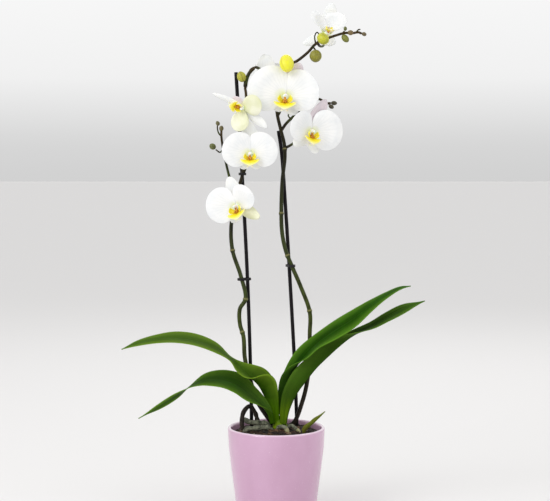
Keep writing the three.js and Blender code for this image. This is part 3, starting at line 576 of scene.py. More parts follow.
def root_finish(name, dark, pale, tip):
    """Corky grey skin over green, with a smooth tip that marks 1."""
    made = Finish(name)
    at_tip = tone(made, "mark")
    made.base = made.ramp(made.patches(4, detail=5), (0.32, dark), (0.66, pale))
    fine = made.ramp(made.patches(0.8, detail=2), (0.3, (190, 190, 185)), (0.7, (255, 255, 255)))
    made.paint(0.6, fine, "MULTIPLY")
    made.paint(at_tip, tip)
    made.dress(made.ramp(at_tip, (0.0, 0.85), (1.0, 0.35)), made.patches(2.2, detail=5), 1.6, 0.9)
    return made


silver_root = root_finish("silver_root", (44, 50, 38), (142, 144, 122), (144, 140, 98))
dark_root = root_finish("withered_root", (16, 12, 10), (58, 46, 36), (60, 48, 36))
for root_name, (route, radius, tip_from) in ROOTS.items():
    lumps = random.Random(len(root_name) * 13 + int(radius * 10))
    swell = [1 + lumps.uniform(*ROOT_SWELL) for _ in range(ROOT_LUMPS)]
    strand = (
        route, lambda s, r=radius, w=swell: r * eased(ROOT_SHAPE, s) * eased(w, s) * 0.98,
        lambda s, t=tip_from: min(max((s - t) * 12, 0), 1), False)
    look, slot_name = (dark_root, "old_root") if root_name == "root_old" else (silver_root, "root")
    root = rods(root_name + "_skin", [strand], look, 18, 0.9)
    ready(root, slot_name, root_name)

# ---------------------------------------------------------------- leaves
# Four thick, strap-shaped leaves and a young one. Each clasps the crown with a folded foot and
# arches out; the blade is keeled along its midrib and edged with a pale green margin, and its
# gloss is painted into its colour as paler sheen patches.

LEAF_THICKNESS, YOUNG_THICKNESS = 2.0, 1.4
LEAF_REACH = 0.997  # the blade ends just inside the last station
LEAVES = {  # midrib point, half width, and the rise of the near and the far half in degrees
    "leaf_left_upper": [
        (-7, -6, 130, 12.3, 66, 50), (-8, -7, 150, 12.7, 72, 58), (-15, -9.5, 167, 20, 74, 58),
        (-25, -14, 186, 27, 62, 52), (-38, -20, 199, 23, 2, 47), (-51, -22, 212, 17, -20, 24),
        (-64, -23, 224, 15, -4, 8), (-83, -23, 238, 19, -10, 15), (-110, -22, 248, 22, -10, 18),
        (-140, -21, 252, 22, -10, 18), (-168, -20, 250, 18, -10, 14), (-193, -18, 244, 12, -9, 12),
        (-215, -16, 235.4, 1, -8, 10)],
    "leaf_left_lower": [
        (-8, -11.5, 131, 5, 56, 76), (-11.5, -16.5, 145, 8, 48, 64), (-20, -21, 158, 13.5, 6, 44),
        (-36, -24, 173, 20, -18, 34), (-54, -24, 187, 24, -20, 36), (-75, -25, 194, 23, -16, 32),
        (-97, -24, 194, 18, -14, 22), (-118, -22, 185, 13, 2, 0), (-140, -21, 171, 13, 22, -24),
        (-165, -20, 155, 11, 24, -26), (-192, -18, 139, 1, 16, -14)],
    "leaf_right_upper": [
        (9, 2, 136, 4, 58, 54), (9, 2, 158, 7, 74, 64), (15, 0, 182, 12, 82, 60),
        (26, -5, 207, 17, 30, 46), (40, -11, 226, 22, -8, 38), (58, -15, 245, 24, -14, 28),
        (79, -18, 261, 25, -21, 25), (105, -19, 278, 22, -26, 26), (130, -19, 297, 18, -22, 20),
        (151, -19, 311, 13, -16, 16), (171, -18, 321, 8, -10, 12), (186, -17, 324, 1, -10, 10)],
    "leaf_right_lower": [
        (13, -10, 129, 8.5, 76, 56), (18, -12, 151, 13.5, 80, 74), (27, -15, 172, 19, 84, 76),
        (41, -16, 192, 22.5, 86, 66), (56, -18, 211, 19.5, 86, 46), (71, -20, 226, 20, 86, 32),
        (86, -21, 240, 18, 84, 22), (105, -22, 255, 15.5, 24, 20), (131, -22, 268, 15, -8, 20),
        (153, -21, 280, 16, -12, 24), (178, -19, 293, 13, -16, 24), (206, -17, 303.6, 1, -12, 16)],
    "young_leaf": [
        (37, -24, 112, 4, 60, 60), (41, -23, 124, 5.5, 62, 62), (50, -20, 132, 5.5, 60, 60),
        (60, -17, 141, 3.6, 55, 55), (68, -15, 149, 0.8, 50, 50)],
}
# The neck colours paint light and shade on the folded leaf bases by the crown: painted shade on the
# left upper and right upper leaves, a painted grey sheen on the left lower one.
LEAF_LOOKS = {  # colours from the foot outward: foot, neck, blade, tip; and the margin
    "leaf_left_upper": ((80, 122, 6), (30, 60, 8), (60, 94, 12), (74, 112, 18), (126, 158, 44)),
    "leaf_left_lower": ((66, 104, 8), (66, 94, 30), (44, 82, 14), (84, 126, 22), (112, 152, 40)),
    "leaf_right_upper": ((60, 96, 8), (20, 56, 6), (38, 80, 8), (48, 92, 12), (92, 134, 40)),
    "leaf_right_lower": ((112, 146, 8), (46, 74, 4), (42, 74, 8), (66, 104, 30), (92, 128, 40)),
    "young_leaf": ((118, 88, 40), (104, 96, 34), (96, 112, 30), (88, 112, 30), (122, 124, 48)),
}
BACK_PALE = 0.4  # how much of the pale green shows on the back
LEAF_MESH, YOUNG_MESH = (96, 20), (28, 12)  # rows along and columns across


def leaf_surface(stations):
    """The middle surface of a leaf by its share along and across."""
    spine = smooth_route([station[:3] for station in stations])
    widths, near_rise, far_rise = ([station[k] for station in stations] for k in (3, 4, 5))
    reach = spine(1) - spine(0)
    side = Vector((-reach.y, reach.x, 0)).normalized()
    away = side * math.copysign(1, side.y)

    def at(u, v):
        u *= LEAF_REACH
        up = (spine(min(u + 1e-4, 1)) - spine(max(u - 1e-4, 0))).cross(side).normalized()
        half = max(eased(widths, u), 0.45)
        near, far = math.radians(eased(near_rise, u)), math.radians(eased(far_rise, u))
        near_edge = -half * math.cos(near) * away + half * math.sin(near) * up
        far_edge = half * math.cos(far) * away + half * math.sin(far) * up
        s = 2 * v - 1
        bend = 0.5 * abs(s) + 0.5 * s * s
        waver = 0.5 * math.sin(19 * u + 2 * v) * s * s * math.sin(math.pi * u)
        return (spine(u) + (near_edge + far_edge) / 2 * bend + (far_edge - near_edge) / 2 * s
                + up * waver)
    return at


def blade(surface, thickness, rows, columns):
    """Points, faces, surface places and a back-face mark of a thin closed blade."""
    small = 1e-3
    middles, normals, halves, places = [], [], [], []
    for i in range(rows + 1):
        for j in range(columns + 1):
            u, v = i / rows, j / columns
            lengthways = surface(min(u + small, 1), v) - surface(max(u - small, 0), v)
            across = surface(u, min(v + small, 1)) - surface(u, max(v - small, 0))
            middles.append(surface(u, v))
            normals.append(lengthways.cross(across).normalized())
            halves.append(thickness(u, v) / 2)
            places.append((u, v))
    points = [m + n * h for m, n, h in zip(middles, normals, halves)]
    points += [m - n * h for m, n, h in zip(middles, normals, halves)]
    width, back, faces = columns + 1, len(middles), []
    for i in range(rows):
        for j in range(columns):
            a = i * width + j
            faces.append((a, a + width, a + width + 1, a + 1))
            faces.append((back + a, back + a + 1, back + a + width + 1, back + a + width))
    rim = [*range(columns), *(i * width + columns for i in range(rows)),
           *(rows * width + j for j in range(columns, 0, -1)),
           *(i * width for i in range(rows, 0, -1))]
    for a, b in zip(rim, rim[1:] + rim[:1]):
        faces.append((a, b, back + b, back + a))
    return points, faces, places * 2, [0.0] * back + [1.0] * back


def surface_place(finish):
    """The share along and the share across of a blade."""
    place = finish.node("UVMap", uv_map="surface").outputs["UV"]
    parts = finish.node("SeparateXYZ", {"Vector": place})
    return parts.outputs["X"], parts.outputs["Y"]


def off_middle(finish, across):
    """How far a point is from the blade's midrib, from 0 to 1 at its edge."""
    return finish.math("ABSOLUTE", finish.math("MULTIPLY_ADD", across, 2.0, -1.0))


def streaks(finish, along, across, lengthways, crossways, detail=3.0):
    """Long random streaks that run along a blade."""
    place = finish.node("CombineXYZ", {
        "X": finish.times(along, lengthways), "Y": finish.times(across, crossways)})
    inputs = {"Vector": place.outputs["Vector"], "Scale": 1.0, "Detail": detail}
    return finish.node("TexNoise", inputs).outputs["Fac"]


def leaf_finish(name, foot, neck, blade_green, tip, margin):
    """Leaf green with painted sheen for its gloss: streaked lengthways, a sunk midrib with painted
    shade, pale margin, paler back.
    """
    made = Finish(name, Specular_IOR_Level=0.003, Subsurface_Weight=0.08,
                  Subsurface_Radius=(0.4, 1.0, 0.15), Subsurface_Scale=0.003)
    deep = tuple(int(part * 0.62) for part in blade_green)
    painted_sheen = tuple(min(int(part * 1.25 + 4), 255) for part in blade_green)
    pale = tuple(int(part * 0.75 + 20) for part in blade_green)
    along, across = surface_place(made)
    off_rib = off_middle(made, across)
    # The neck stop carries the painted shade and sheen of the folded leaf bases.
    made.base = made.ramp(along, (0.0, foot), (0.07, foot), (0.16, neck), (0.3, neck),
                          (0.42, blade_green), (0.8, blade_green), (1.0, tip))
    made.paint(made.ramp(streaks(made, along, across, 3.0, 26.0), (0.38, 0.7), (0.62, 0.0)), deep)
    # Painted sheen: paler patches stand in for the highlights of the leaf's gloss.
    made.paint(made.ramp(made.patches(34), (0.45, 0.0), (0.75, 0.45)), painted_sheen)
    # Painted shade: a dark line along the crease of the sunk midrib.
    made.paint(made.ramp(off_rib, (0.0, 0.75), (0.035, 0.35), (0.09, 0.0)), deep)
    edge = made.ramp(off_rib, (0.3, 0.0), (0.84, 0.45), (0.95, 0.85), (1.0, 0.95))
    made.paint(made.times(edge, made.ramp(along, (0.08, 0.0), (0.3, 1.0))), margin)
    made.paint(made.times(tone(made, "back"), BACK_PALE), pale)
    rib_relief = made.ramp(off_rib, (0.0, 0.0), (0.07, 0.8), (1.0, 1.0))
    vein_relief = made.times(streaks(made, along, across, 1.0, 60.0, 1.0), 0.35)
    made.dress(made.mottle(12, 0.3, 0.46), made.math("ADD", rib_relief, vein_relief), 0.5, 0.55)
    return made


for leaf_name, stations in LEAVES.items():
    young = leaf_name == "young_leaf"
    thick = YOUNG_THICKNESS if young else LEAF_THICKNESS
    mesh_size = YOUNG_MESH if young else LEAF_MESH
    taper = lambda u, v, t=thick: t * (1 - 0.6 * abs(2 * v - 1) ** 2) * (1 - 0.35 * u)
    points, faces, places, backs = blade(leaf_surface(stations), taper, *mesh_size)
    green = leaf_finish(leaf_name + "_green", *LEAF_LOOKS[leaf_name])
    leaf = mesh_piece(leaf_name + "_blade", points, faces, [green], places, {"back": backs})
    ready(leaf, "leaf", leaf_name)

# ---------------------------------------------------------------- stakes
# Two thin rods of black-coated wood push down through the bark and hold up the flower spikes.
# Their coating has a long faint grain and a satin shine.

STAKE_RADIUS = 2.6
STAKES = {
    "stake_left": [(-34, 15, 30), (-35, 15, 141), (-37, 15, 231), (-40.5, 15, 334), (-48, 15, 483),
                   (-56, 15, 619)],
    "stake_right": [(31, 15, 30), (28.5, 15, 140), (25, 15, 225), (19.5, 15, 324), (14, 15, 414),
                    (7, 15, 511), (3, 15, 538)],
}

stake_coat = Finish("stake_coat", Specular_IOR_Level=0.14)
stake_grain = stake_coat.patches(3, (1, 1, 0.05), detail=4)
stake_coat.base = stake_coat.ramp(stake_grain, (0.3, (8, 7, 9)), (0.75, (26, 21, 26)))
stake_rough = stake_coat.mottle(2, 0.28, 0.5, stretch=(1, 1, 0.08))
stake_coat.dress(stake_rough, stake_coat.patches(1.1, (1, 1, 0.04)), 0.25)
for stake_name, route in STAKES.items():
    rod = rods(stake_name + "_rod", [(route, lambda s: STAKE_RADIUS * 0.99, lambda s: 0.0, True)],
               stake_coat, 24, 4)
    ready(rod, "stake", stake_name)

# ---------------------------------------------------------------- flower spikes
# Each spike is one green stem that bends up to its stake and over at the top. It has a swollen
# ring with a dry scale where each leaf once sat, side branches, and a thin stalk to each bloom.

SPIKE_RADIUS, STALK_RADIUS, STALK_RUN = 3.2, 1.7, 9
RING_REACH, RING_SWELL = 1.7, 0.85  # millimetres along the spike and out of it
SCALE_OFFSET, SCALE_REACH, SCALE_SHADE = 1.1, 0.9, 0.85  # a ring's dry scale starts just past it
SPIKES = {
    "spike_left": {
        "route": [
            (-4, 5, 126), (-13, 6, 138), (-26, 8, 158), (-36, 7.5, 188), (-44, 8.5, 220),
            (-46, 10.5, 250), (-51, 12, 268), (-51, 11, 289), (-43, 8.4, 304), (-50, 9, 337),
            (-61, 10, 371), (-63, 8, 403), (-57, 7, 442), (-46, 6.5, 481), (-42, 6, 511),
            (-41, 5, 553), (-42, 5, 589), (-43, 4, 598), (-40, 4, 610), (-35, 4, 622), (-27, 6, 626)],
        "rings": [0.267, 0.362, 0.497, 0.659],
        "twigs": [
            ([(-57, 7, 440), (-62, 7, 461), (-66, 6, 477), (-70, 5, 494), (-74, 4, 514),
              (-76, 3, 530), (-76, 3, 539)], 1.7),
            ([(-74, 4, 512), (-78, 2, 508), (-84, 0.5, 512)], 1.0),
            ([(-75.5, 3, 530), (-79.5, 3, 534), (-81.4, 3, 540), (-81.4, 3, 547)], 1.0),
            ([(-42, 4.5, 596), (-43, 3, 604), (-45, 2, 607)], 1.3),
            ([(-43, 4, 597), (-42, 4, 605), (-37.5, 4, 617), (-30, 5, 625)], 2.5)],
        "stalks": {
            "bloom_left_1": [(-62, 8, 412), (-60, 2, 420), (-54, -7, 430)],
            "bloom_left_2": [(-46, 6.5, 478), (-42, 3, 488), (-38, -8, 501)],
            "bloom_left_3": [(-41.5, 5, 554), (-40, 0, 562), (-40, -8, 568)],
            "bloom_left_4": [(-29, 6, 626), (-20, 4, 621)]},
    },
    "spike_right": {
        "route": [
            (16, 5, 124), (25, 6, 130), (37, 9, 160), (43, 13, 184), (47, 16, 220), (47, 16, 252),
            (47, 15, 284), (34, 11, 321), (22, 7, 349), (13, 7.5, 372), (8, 8, 397), (7, 8, 430),
            (8.5, 7, 470), (12, 7.5, 502), (11, 7, 520), (6, 6, 540), (1, 5, 564), (2, 5, 583),
            (8, 4, 603), (13, 4, 618), (20, 3, 629), (29, 3, 634), (44, 3, 646), (52, 3, 655),
            (60, 3, 661), (71, 3, 665), (83, 3, 669), (94, 3, 672), (106, 3, 672), (113, 3, 673),
            (118, 3, 671)],
        "rings": [0.268, 0.4, 0.494, 0.634],
        "twigs": [
            ([(7, 6, 538), (13, 8, 547), (22, 8, 556), (33, 11, 566), (46, 12, 577), (58, 11, 582),
              (70, 8, 576), (76, 7, 576)], 1.8),
            ([(70, 8, 576), (73, 5, 574)], 1.0),
            ([(20, 8, 554), (16.5, 6, 559), (19, 5, 563), (25, 5, 560)], 0.9),
            ([(18, 3, 627), (17, -6, 635), (15, -16, 633), (14, -23, 630)], 1.5),
            ([(50, 3, 654), (52, 0, 651), (54, -2, 648)], 1.2),
            ([(54, 3, 658), (53, 3, 668), (56, 3, 673), (60, 3, 669)], 0.9),
            ([(64, 3, 663), (63, 0, 664), (63, -3, 664)], 1.2),
            ([(92, 3, 671.5), (93.5, 3, 669)], 1.2),
            ([(91, 3, 671), (94, 3, 675)], 1.2),
            ([(99, 3, 672), (101, 0.5, 672.5)], 1.2),
            ([(110, 3, 672.5), (113, 3, 676.5), (116, 3, 677)], 1.0)],
        "stalks": {
            "bloom_right_1": [(12, 7, 514), (20, 6, 518), (33, -3, 528)],
            "bloom_right_2": [(1, 5, 557), (5, 3, 564), (10, -5, 577)],
            "bloom_right_3": [(57, 3, 658), (60, 12, 655), (65, 26, 656), (68, 36, 662)]},
    },
}
BLOOM_PLACES = {  # centre, the way that it faces, and its size
    "bloom_left_1": ((-54, -22, 434), (-0.42, -0.9, -0.1), 0.92),
    "bloom_left_2": ((-36, -26, 506), (0, -1, -0.06), 0.85),
    "bloom_left_3": ((-46, -30, 569), (-0.25, -0.93, -0.28), 0.88),
    "bloom_left_4": ((-13, 18, 613), (0.1, 0.95, 0.25), 0.85),
    "bloom_right_1": ((47, -24, 536), (0.46, -0.88, -0.04), 0.94),
    "bloom_right_2": ((12, -23, 584), (0, -1, 0.04), 1),
    "bloom_right_3": ((71, 34, 675), (0.25, -0.5, 0.82), 0.9),
}

spike_skin = Finish("spike_skin", Specular_IOR_Level=0.18)
spike_skin.base = spike_skin.ramp(
    tone(spike_skin, "share"), (0.0, (38, 28, 22)), (0.12, (44, 40, 22)), (0.26, (66, 76, 26)),
    (0.42, (56, 66, 28)), (0.6, (36, 36, 18)), (1.0, (70, 54, 26)))
spike_streak = spike_skin.patches(4, (1, 1, 0.3), detail=4)
spike_skin.paint(0.7, spike_skin.ramp(spike_streak, (0.32, (110, 92, 96)), (0.6, (255, 255, 250))),
                 "MULTIPLY")
spike_skin.paint(tone(spike_skin, "mark"), (138, 132, 84))
spike_skin.dress(spike_skin.mottle(6, 0.34, 0.55), spike_skin.patches(1.2, (1, 1, 0.3)), 0.25)

for spike_name, parts in SPIKES.items():
    length = measured(parts["route"])[1]

    def spike_radius(share, rings=parts["rings"], length=length):
        plain = SPIKE_RADIUS * (1 - 0.2 * share if share < 0.5 else 1.27 - 0.74 * share)
        swell = sum(math.exp(-(((share - at) * length) / RING_REACH) ** 2) for at in rings)
        return plain * 0.98 + RING_SWELL * swell

    def ring_mark(share, rings=parts["rings"], length=length):
        return SCALE_SHADE * max(
            math.exp(-(((share - at) * length - SCALE_OFFSET) / SCALE_REACH) ** 2) for at in rings)

    strands = [(parts["route"], spike_radius, ring_mark, False)]
    for route, radius in parts["twigs"]:
        strands.append(
            (route, lambda s, r=radius: r * eased([1.2, 1, 0.95], s), lambda s: 0.0, False))
    for bloom_name, start in parts["stalks"].items():
        centre, face, size = BLOOM_PLACES[bloom_name]
        face = Vector(face).normalized()
        route = [*start, Vector(centre) - face * STALK_RUN * size, Vector(centre) - face * 1.5]
        strands.append((route, lambda s: STALK_RADIUS * eased([1.2, 0.95, 1.0, 1.1], s),
                        lambda s: 0.25 * s, False))
    spike = rods(spike_name + "_stem", strands, spike_skin, 16, 1.0)
    ready(spike, "spike", spike_name)

# ---------------------------------------------------------------- clips
# Small bands of dark springy plastic hold each spike to its stake. A band is a flat oval ring
# that is pushed over both, with rounded edges.

CLIP_HEIGHT, CLIP_OUTER, CLIP_INNER = 3.6, 5.1, 3.5
CLIPS = {  # middle height, centre at the stake, centre at the spike
    "clip_left": (331, (-40.3, 15), (-49.4, 8.8)),
    "clip_left_top": (478, (-47.7, 15), (-46.8, 6.6)),
    "clip_right": (350, (18, 15), (21.5, 7)),
}

clip_plastic = Finish("clip_plastic", Specular_IOR_Level=0.25)
clip_plastic.base = clip_plastic.mottle(6, (16, 15, 16), (30, 28, 29))
clip_plastic.dress(clip_plastic.mottle(3, 0.32, 0.5), clip_plastic.patches(0.7), 0.05, 0.4)


def oval(start, end, radius, steps=20):
    """A closed outline round two points."""
    start, end = Vector(start), Vector(end)
    turn = math.atan2(end.y - start.y, end.x - start.x)
    outline = []
    for centre, first in ((start, turn + math.pi / 2), (end, turn - math.pi / 2)):
        for k in range(steps + 1):
            angle = first + math.pi * k / steps
            outline.append(
                (centre.x + radius * math.cos(angle), centre.y + radius * math.sin(angle)))
    return outline


for clip_name, (middle, at_stake, at_spike) in CLIPS.items():
    soft_edge, half_height = 0.5, CLIP_HEIGHT / 2
    section = [  # radius and height round the band's section
        (CLIP_OUTER, half_height - soft_edge), (CLIP_OUTER - 0.15, half_height - 0.15),
        (CLIP_OUTER - soft_edge, half_height),
        (CLIP_INNER + soft_edge, half_height), (CLIP_INNER, half_height - soft_edge),
        (CLIP_INNER, soft_edge - half_height), (CLIP_INNER + soft_edge, -half_height),
        (CLIP_OUTER - soft_edge, -half_height), (CLIP_OUTER - 0.15, 0.15 - half_height),
        (CLIP_OUTER, soft_edge - half_height)]
    loops = [[(x, y, middle + height) for x, y in oval(at_stake, at_spike, radius)]
             for radius, height in section]
    count = len(loops[0])
    points = [point for loop in loops for point in loop]
    faces = []
    for i in range(len(loops)):
        after = (i + 1) % len(loops)
        for k in range(count):
            nxt = (k + 1) % count
            faces.append((i * count + k, i * count + nxt, after * count + nxt, after * count + k))
    band = mesh_piece(clip_name + "_band", points, faces, [clip_plastic])
    ready(band, "clip", clip_name)

# ---------------------------------------------------------------- blooms, the white parts
# Each open bloom has two broad petals in front of three oval sepals, all thin, white and finely
# veined, and a short white column in the middle. They grow as one from the flower stalk.

PETAL_LENGTH, PETAL_THICKNESS, SEPAL_LENGTH = 49, 0.9, 36
# top direction; petals and sepals as turn, reach, breadth and forward sweep; spread of the lip
BLOOMS = {
    "bloom_left_1": (
        (-0.4, 0, 1), [(24, 0.8, 0.84, 12), (161, 0.98, 0.94, 10)],
        [(86, 1.26, 1.1, 2), (-46, 1.08, 0.8, 0), (-136, 0.8, 0.95, -4)], 1),
    "bloom_left_2": (
        (0, 0, 1), [(14, 0.94, 1.08, 5), (166, 0.94, 1.08, 5)],
        [(90, 1.42, 1.15, -2), (-60, 0.8, 0.95, -4), (-120, 0.8, 0.95, -4)], 1),
    "bloom_left_3": (
        (0.94, 0, -0.34), [(10, 0.77, 0.56, 18), (130, 0.68, 0.8, 4)],
        [(70, 1.38, 0.7, 2), (-93, 1.42, 0.38, 6), (-112, 0.6, 0.6, 0)], 0.58),
    "bloom_left_4": (
        (-0.05, 0, 1), [(10, 0.7, 0.7, 26), (170, 0.7, 0.7, 26)],
        [(90, 1.04, 1.25, 4), (-56, 0.9, 0.9, 12), (-124, 0.9, 0.9, 12)], 0.4),
    "bloom_right_1": (
        (0.24, 0, 1), [(12, 1.02, 1, 9), (172, 0.82, 0.95, 9)],
        [(72, 1.5, 0.95, 0), (-54, 0.98, 0.9, -4), (-126, 0.9, 0.9, -4)], 0.86),
    "bloom_right_2": (
        (0.05, 0, 1), [(18, 0.98, 1.04, 6), (162, 1.08, 1.04, 6)],
        [(69, 1.38, 1.15, 2), (-56, 0.8, 0.95, -4), (-124, 0.66, 0.95, -4)], 1),
    "bloom_right_3": (
        (-0.1, 0.83, 0.56), [(54, 0.9, 0.66, 30), (146, 0.82, 0.62, 30)],
        [(82, 1.5, 1, 40), (-92, 0.85, 1.15, -6), (-144, 1.35, 0.9, -12)], 0.5),
}
PETAL_WHITE, PETAL_SHADE, PETAL_VEIN = (244, 244, 243), (234, 236, 237), (206, 208, 210)
CLAW_GREEN = (216, 224, 132)
# The shaded sepal colour is a pinkish grey that paints the shade lying on some sepals.
SEPAL_WHITE, SHADED_SEPAL_COLOUR = (244, 244, 240), (228, 216, 220)
PETAL_MESH, SEPAL_MESH = (36, 60), (36, 20)  # rows along and columns across
RIM_SHARE, MIDDLE_SHARE = 0.42, 0.5  # of the thickness, at the rim and added in the middle


def bloom_frame(name):
    """The bloom's own axes: x to its viewer's right, y to its top sepal and z out of its face."""
    centre, face, size = BLOOM_PLACES[name]
    z = Vector(face).normalized()
    top = Vector(BLOOMS[name][0])
    y = (top - z * top.dot(z)).normalized()
    x = y.cross(z)
    axes = Matrix((x, y, z)).transposed().to_4x4()
    return Matrix.Translation(centre) @ axes @ Matrix.Scale(size, 4)


def turned_in_face(x, across, z, turn):
    c, s = math.cos(math.radians(turn)), math.sin(math.radians(turn))
    return Vector((x * c - across * s, x * s + across * c, z))


def fanned_out(out, height, sweep, u):
    """How far out and how high a point of a petal is, once the petal bends forward by its sweep."""
    tilt = math.radians(sweep) * min(1, 1.3 * u)
    c, s = math.cos(tilt), math.sin(tilt)
    return out * c - height * s, out * s + height * c


def petal_surface(turn, reach, breadth, sweep, lift, seed):
    """A broad petal that fans out from its narrow claw, waves at its edge and bends forward."""
    mirrored = abs(turn) > 90

    def at(u, v):
        a = (2 * v - 1) * 88
        outline = math.cos(math.radians(a)) ** (0.34 if a > 0 else 0.5)
        radius = PETAL_LENGTH * reach * outline * (0.05 + 0.95 * u)
        fan = math.radians(a * (0.9 if a > 0 else 0.84) * breadth)
        wave = 0.7 * math.sin(math.radians(a * 3.2)) * u * u
        wave += 0.5 * math.sin(math.radians(a * 6.1 + seed * 70)) * u**4
        height = lift + 3 * math.sin(2.4 * u) * math.cos(fan) - u * u + wave
        x, z = fanned_out(radius * math.cos(fan), height, sweep, u)
        point = turned_in_face(x, radius * math.sin(fan), z, 180 - turn if mirrored else turn)
        if mirrored:
            point.x *= -1
        return point
    return at


def sepal_surface(turn, reach, breadth, sweep):
    """A long oval blade behind the petals."""
    def at(u, v):
        s = 2 * v - 1
        out = 2 + (SEPAL_LENGTH * reach - 2) * u
        bulge = max(math.sin(math.pi * (0.08 + 0.87 * u) ** 0.85), 0) ** 0.8
        closing = math.sqrt(max(1 - max((u - 0.9) / 0.1, 0) ** 2, 0.0))
        half = 12.5 * breadth * (0.12 + 0.88 * bulge) * (0.25 + 0.75 * closing)
        height = -2 - 1.2 * math.sin(2.6 * u) - 1.6 * s * s * min(1, 3 * u)
        x, z = fanned_out(out, height, sweep, u)
        return turned_in_face(x, s * half, z, turn)
    return at


def egg(centre, radii, axis=(0, 0, 1), sides=20, rings=14):
    """Points, faces, surface places and marks of an egg shape."""
    turn = Vector((0, 0, 1)).rotation_difference(Vector(axis))
    points, places, faces = [], [], []
    wide, deep, long = radii
    for i in range(rings + 1):
        theta = math.pi * i / rings
        for j in range(1 if i in (0, rings) else sides):
            phi = 2 * math.pi * j / sides
            local = Vector((wide * math.sin(theta) * math.cos(phi),
                            deep * math.sin(theta) * math.sin(phi),
                            -long * math.cos(theta)))
            points.append(turn @ local + Vector(centre))
            places.append((i / rings, j / sides))
    for j in range(sides):
        after = (j + 1) % sides
        faces.append((0, 1 + after, 1 + j))
        last = len(points) - 1
        faces.append((last, last - sides + j, last - sides + after))
        for i in range(rings - 2):
            a = 1 + i * sides
            faces.append((a + j, a + after, a + sides + after, a + sides + j))
    return points, faces, places, [0.0] * len(points)


def joined(shells):
    """Several closed shells as one mesh's lists. Each comes with the number of its finish."""
    points, faces, places, marks, finishes = [], [], [], [], []
    for (shell_points, shell_faces, shell_places, shell_marks), finish_number in shells:
        start = len(points)
        points += shell_points
        faces += [tuple(start + corner for corner in face) for face in shell_faces]
        places += shell_places
        marks += shell_marks
        finishes += [finish_number] * len(shell_faces)
    return points, faces, places, marks, finishes


def petal_finish(name, white, shade, vein, vein_count):
    """Thin white petal: fine veins run out from the claw, and the claw is greenish."""
    made = Finish(name, Specular_IOR_Level=0.2, Sheen_Weight=0.05, Sheen_Roughness=0.5)
    along, across = surface_place(made)
    made.base = made.ramp(made.patches(16), (0.35, shade), (0.65, white))
    wander = made.times(made.math("SUBTRACT", streaks(made, along, across, 5.0, 9.0), 0.5), 0.05)
    comb = made.math("SINE", made.times(made.math("ADD", across, wander), vein_count * 2 * math.pi))
    line_share = made.ramp(comb, (0.3, 0.0), (1.0, 1.0))
    fade = made.ramp(along, (0.0, 0.9), (0.6, 0.45), (1.0, 0.0))
    made.paint(made.times(made.times(line_share, fade), 0.3), vein)
    made.paint(made.ramp(along, (0.02, 0.9), (0.14, 0.35), (0.26, 0.0)), CLAW_GREEN)
    relief = made.math("ADD", made.times(line_share, -0.15), made.patches(5.0, detail=2))
    made.dress(made.mottle(7, 0.44, 0.58), relief, 0.05, 0.1)
    return made


bloom_finishes = [
    petal_finish("petal_white", PETAL_WHITE, PETAL_SHADE, PETAL_VEIN, 17),
    petal_finish("sepal_white", SEPAL_WHITE, PETAL_SHADE, PETAL_VEIN, 7),
    petal_finish("sepal_blush", SHADED_SEPAL_COLOUR, (214, 204, 210), (186, 172, 182), 7),
    petal_finish("petal_cream", (238, 238, 214), (224, 226, 186), (200, 204, 160), 17),
    Finish("column_white", Roughness=0.4, Subsurface_Weight=0.3, Subsurface_Scale=0.002)]
PETAL, SEPAL, SHADED_SEPAL, CREAM, COLUMN = range(5)  # their numbers
column_white = bloom_finishes[COLUMN]
column_white.base = column_white.ramp(
    surface_place(column_white)[0], (0.0, (236, 230, 186)), (0.3, (244, 242, 230)),
    (0.85, (247, 245, 242)), (1.0, (238, 222, 216)))
column_white.dress(None, column_white.patches(1.0), 0.08, 0.4)

SHADE_PAINTED_SEPALS = {  # which sepals are painted a pinkish grey for the shade lying on them
    "bloom_right_1": [0], "bloom_right_2": [0], "bloom_left_3": [2]}
CREAM_PETALS = ["bloom_left_3"]  # the blooms with cream petals
CREAM_SEPALS = {"bloom_left_1": [1]}
for name, (_, petals, sepals, _) in BLOOMS.items():
    size = BLOOM_PLACES[name][2]
    thick = PETAL_THICKNESS / size
    thin = lambda u, v, t=thick: t * (
        RIM_SHARE + MIDDLE_SHARE * (1 - u**3) * (1 - abs(2 * v - 1) ** 4))
    shells = [(egg((0, 0, 0), (4.3, 4.3, 3.5)), COLUMN),
              (egg((0, 1, 5.5), (2.3, 2.5, 6.2), (0, -0.15, 1)), COLUMN),
              (egg((0, 0.6, 10.1), (1.8, 2.1, 1.9), (0, -0.3, 1)), COLUMN)]
    for k, petal in enumerate(petals):
        surface = petal_surface(*petal, 1.3 if k else 0, k + len(name))
        shells.append((blade(surface, thin, *PETAL_MESH), CREAM if name in CREAM_PETALS else PETAL))
    for k, sepal in enumerate(sepals):
        look = SEPAL
        if k in SHADE_PAINTED_SEPALS.get(name, []):
            look = SHADED_SEPAL
        elif k in CREAM_SEPALS.get(name, []):
            look = CREAM
        shells.append((blade(sepal_surface(*sepal), thin, *SEPAL_MESH), look))
    points, faces, places, marks, finishes = joined(shells)
    to_place = bloom_frame(name)
    bloom = mesh_piece(name + "_petals", [to_place @ Vector(p) for p in points], faces,
                       bloom_finishes, places, {"back": marks}, finishes)
    ready(bloom, "petal", name)

# ---------------------------------------------------------------- lips
# The lip is the bloom's fleshy third petal: two side lobes that arch over the throat, a warty
# callus spotted red-brown between them, and a yellow middle lobe with a cream tip and two curls.

LIP_THICKNESS = 1.1
LIP_YELLOW, LIP_DEEP, LIP_CREAM = (250, 232, 36), (238, 196, 24), (247, 243, 206)
LIP_BROWN, LIP_GREEN = (142, 62, 14), (238, 236, 96)
LIP_PALE, LIP_EDGE = (250, 240, 140), (250, 242, 168)
LOBE_MESH, MIDDLE_MESH = (14, 12), (20, 20)

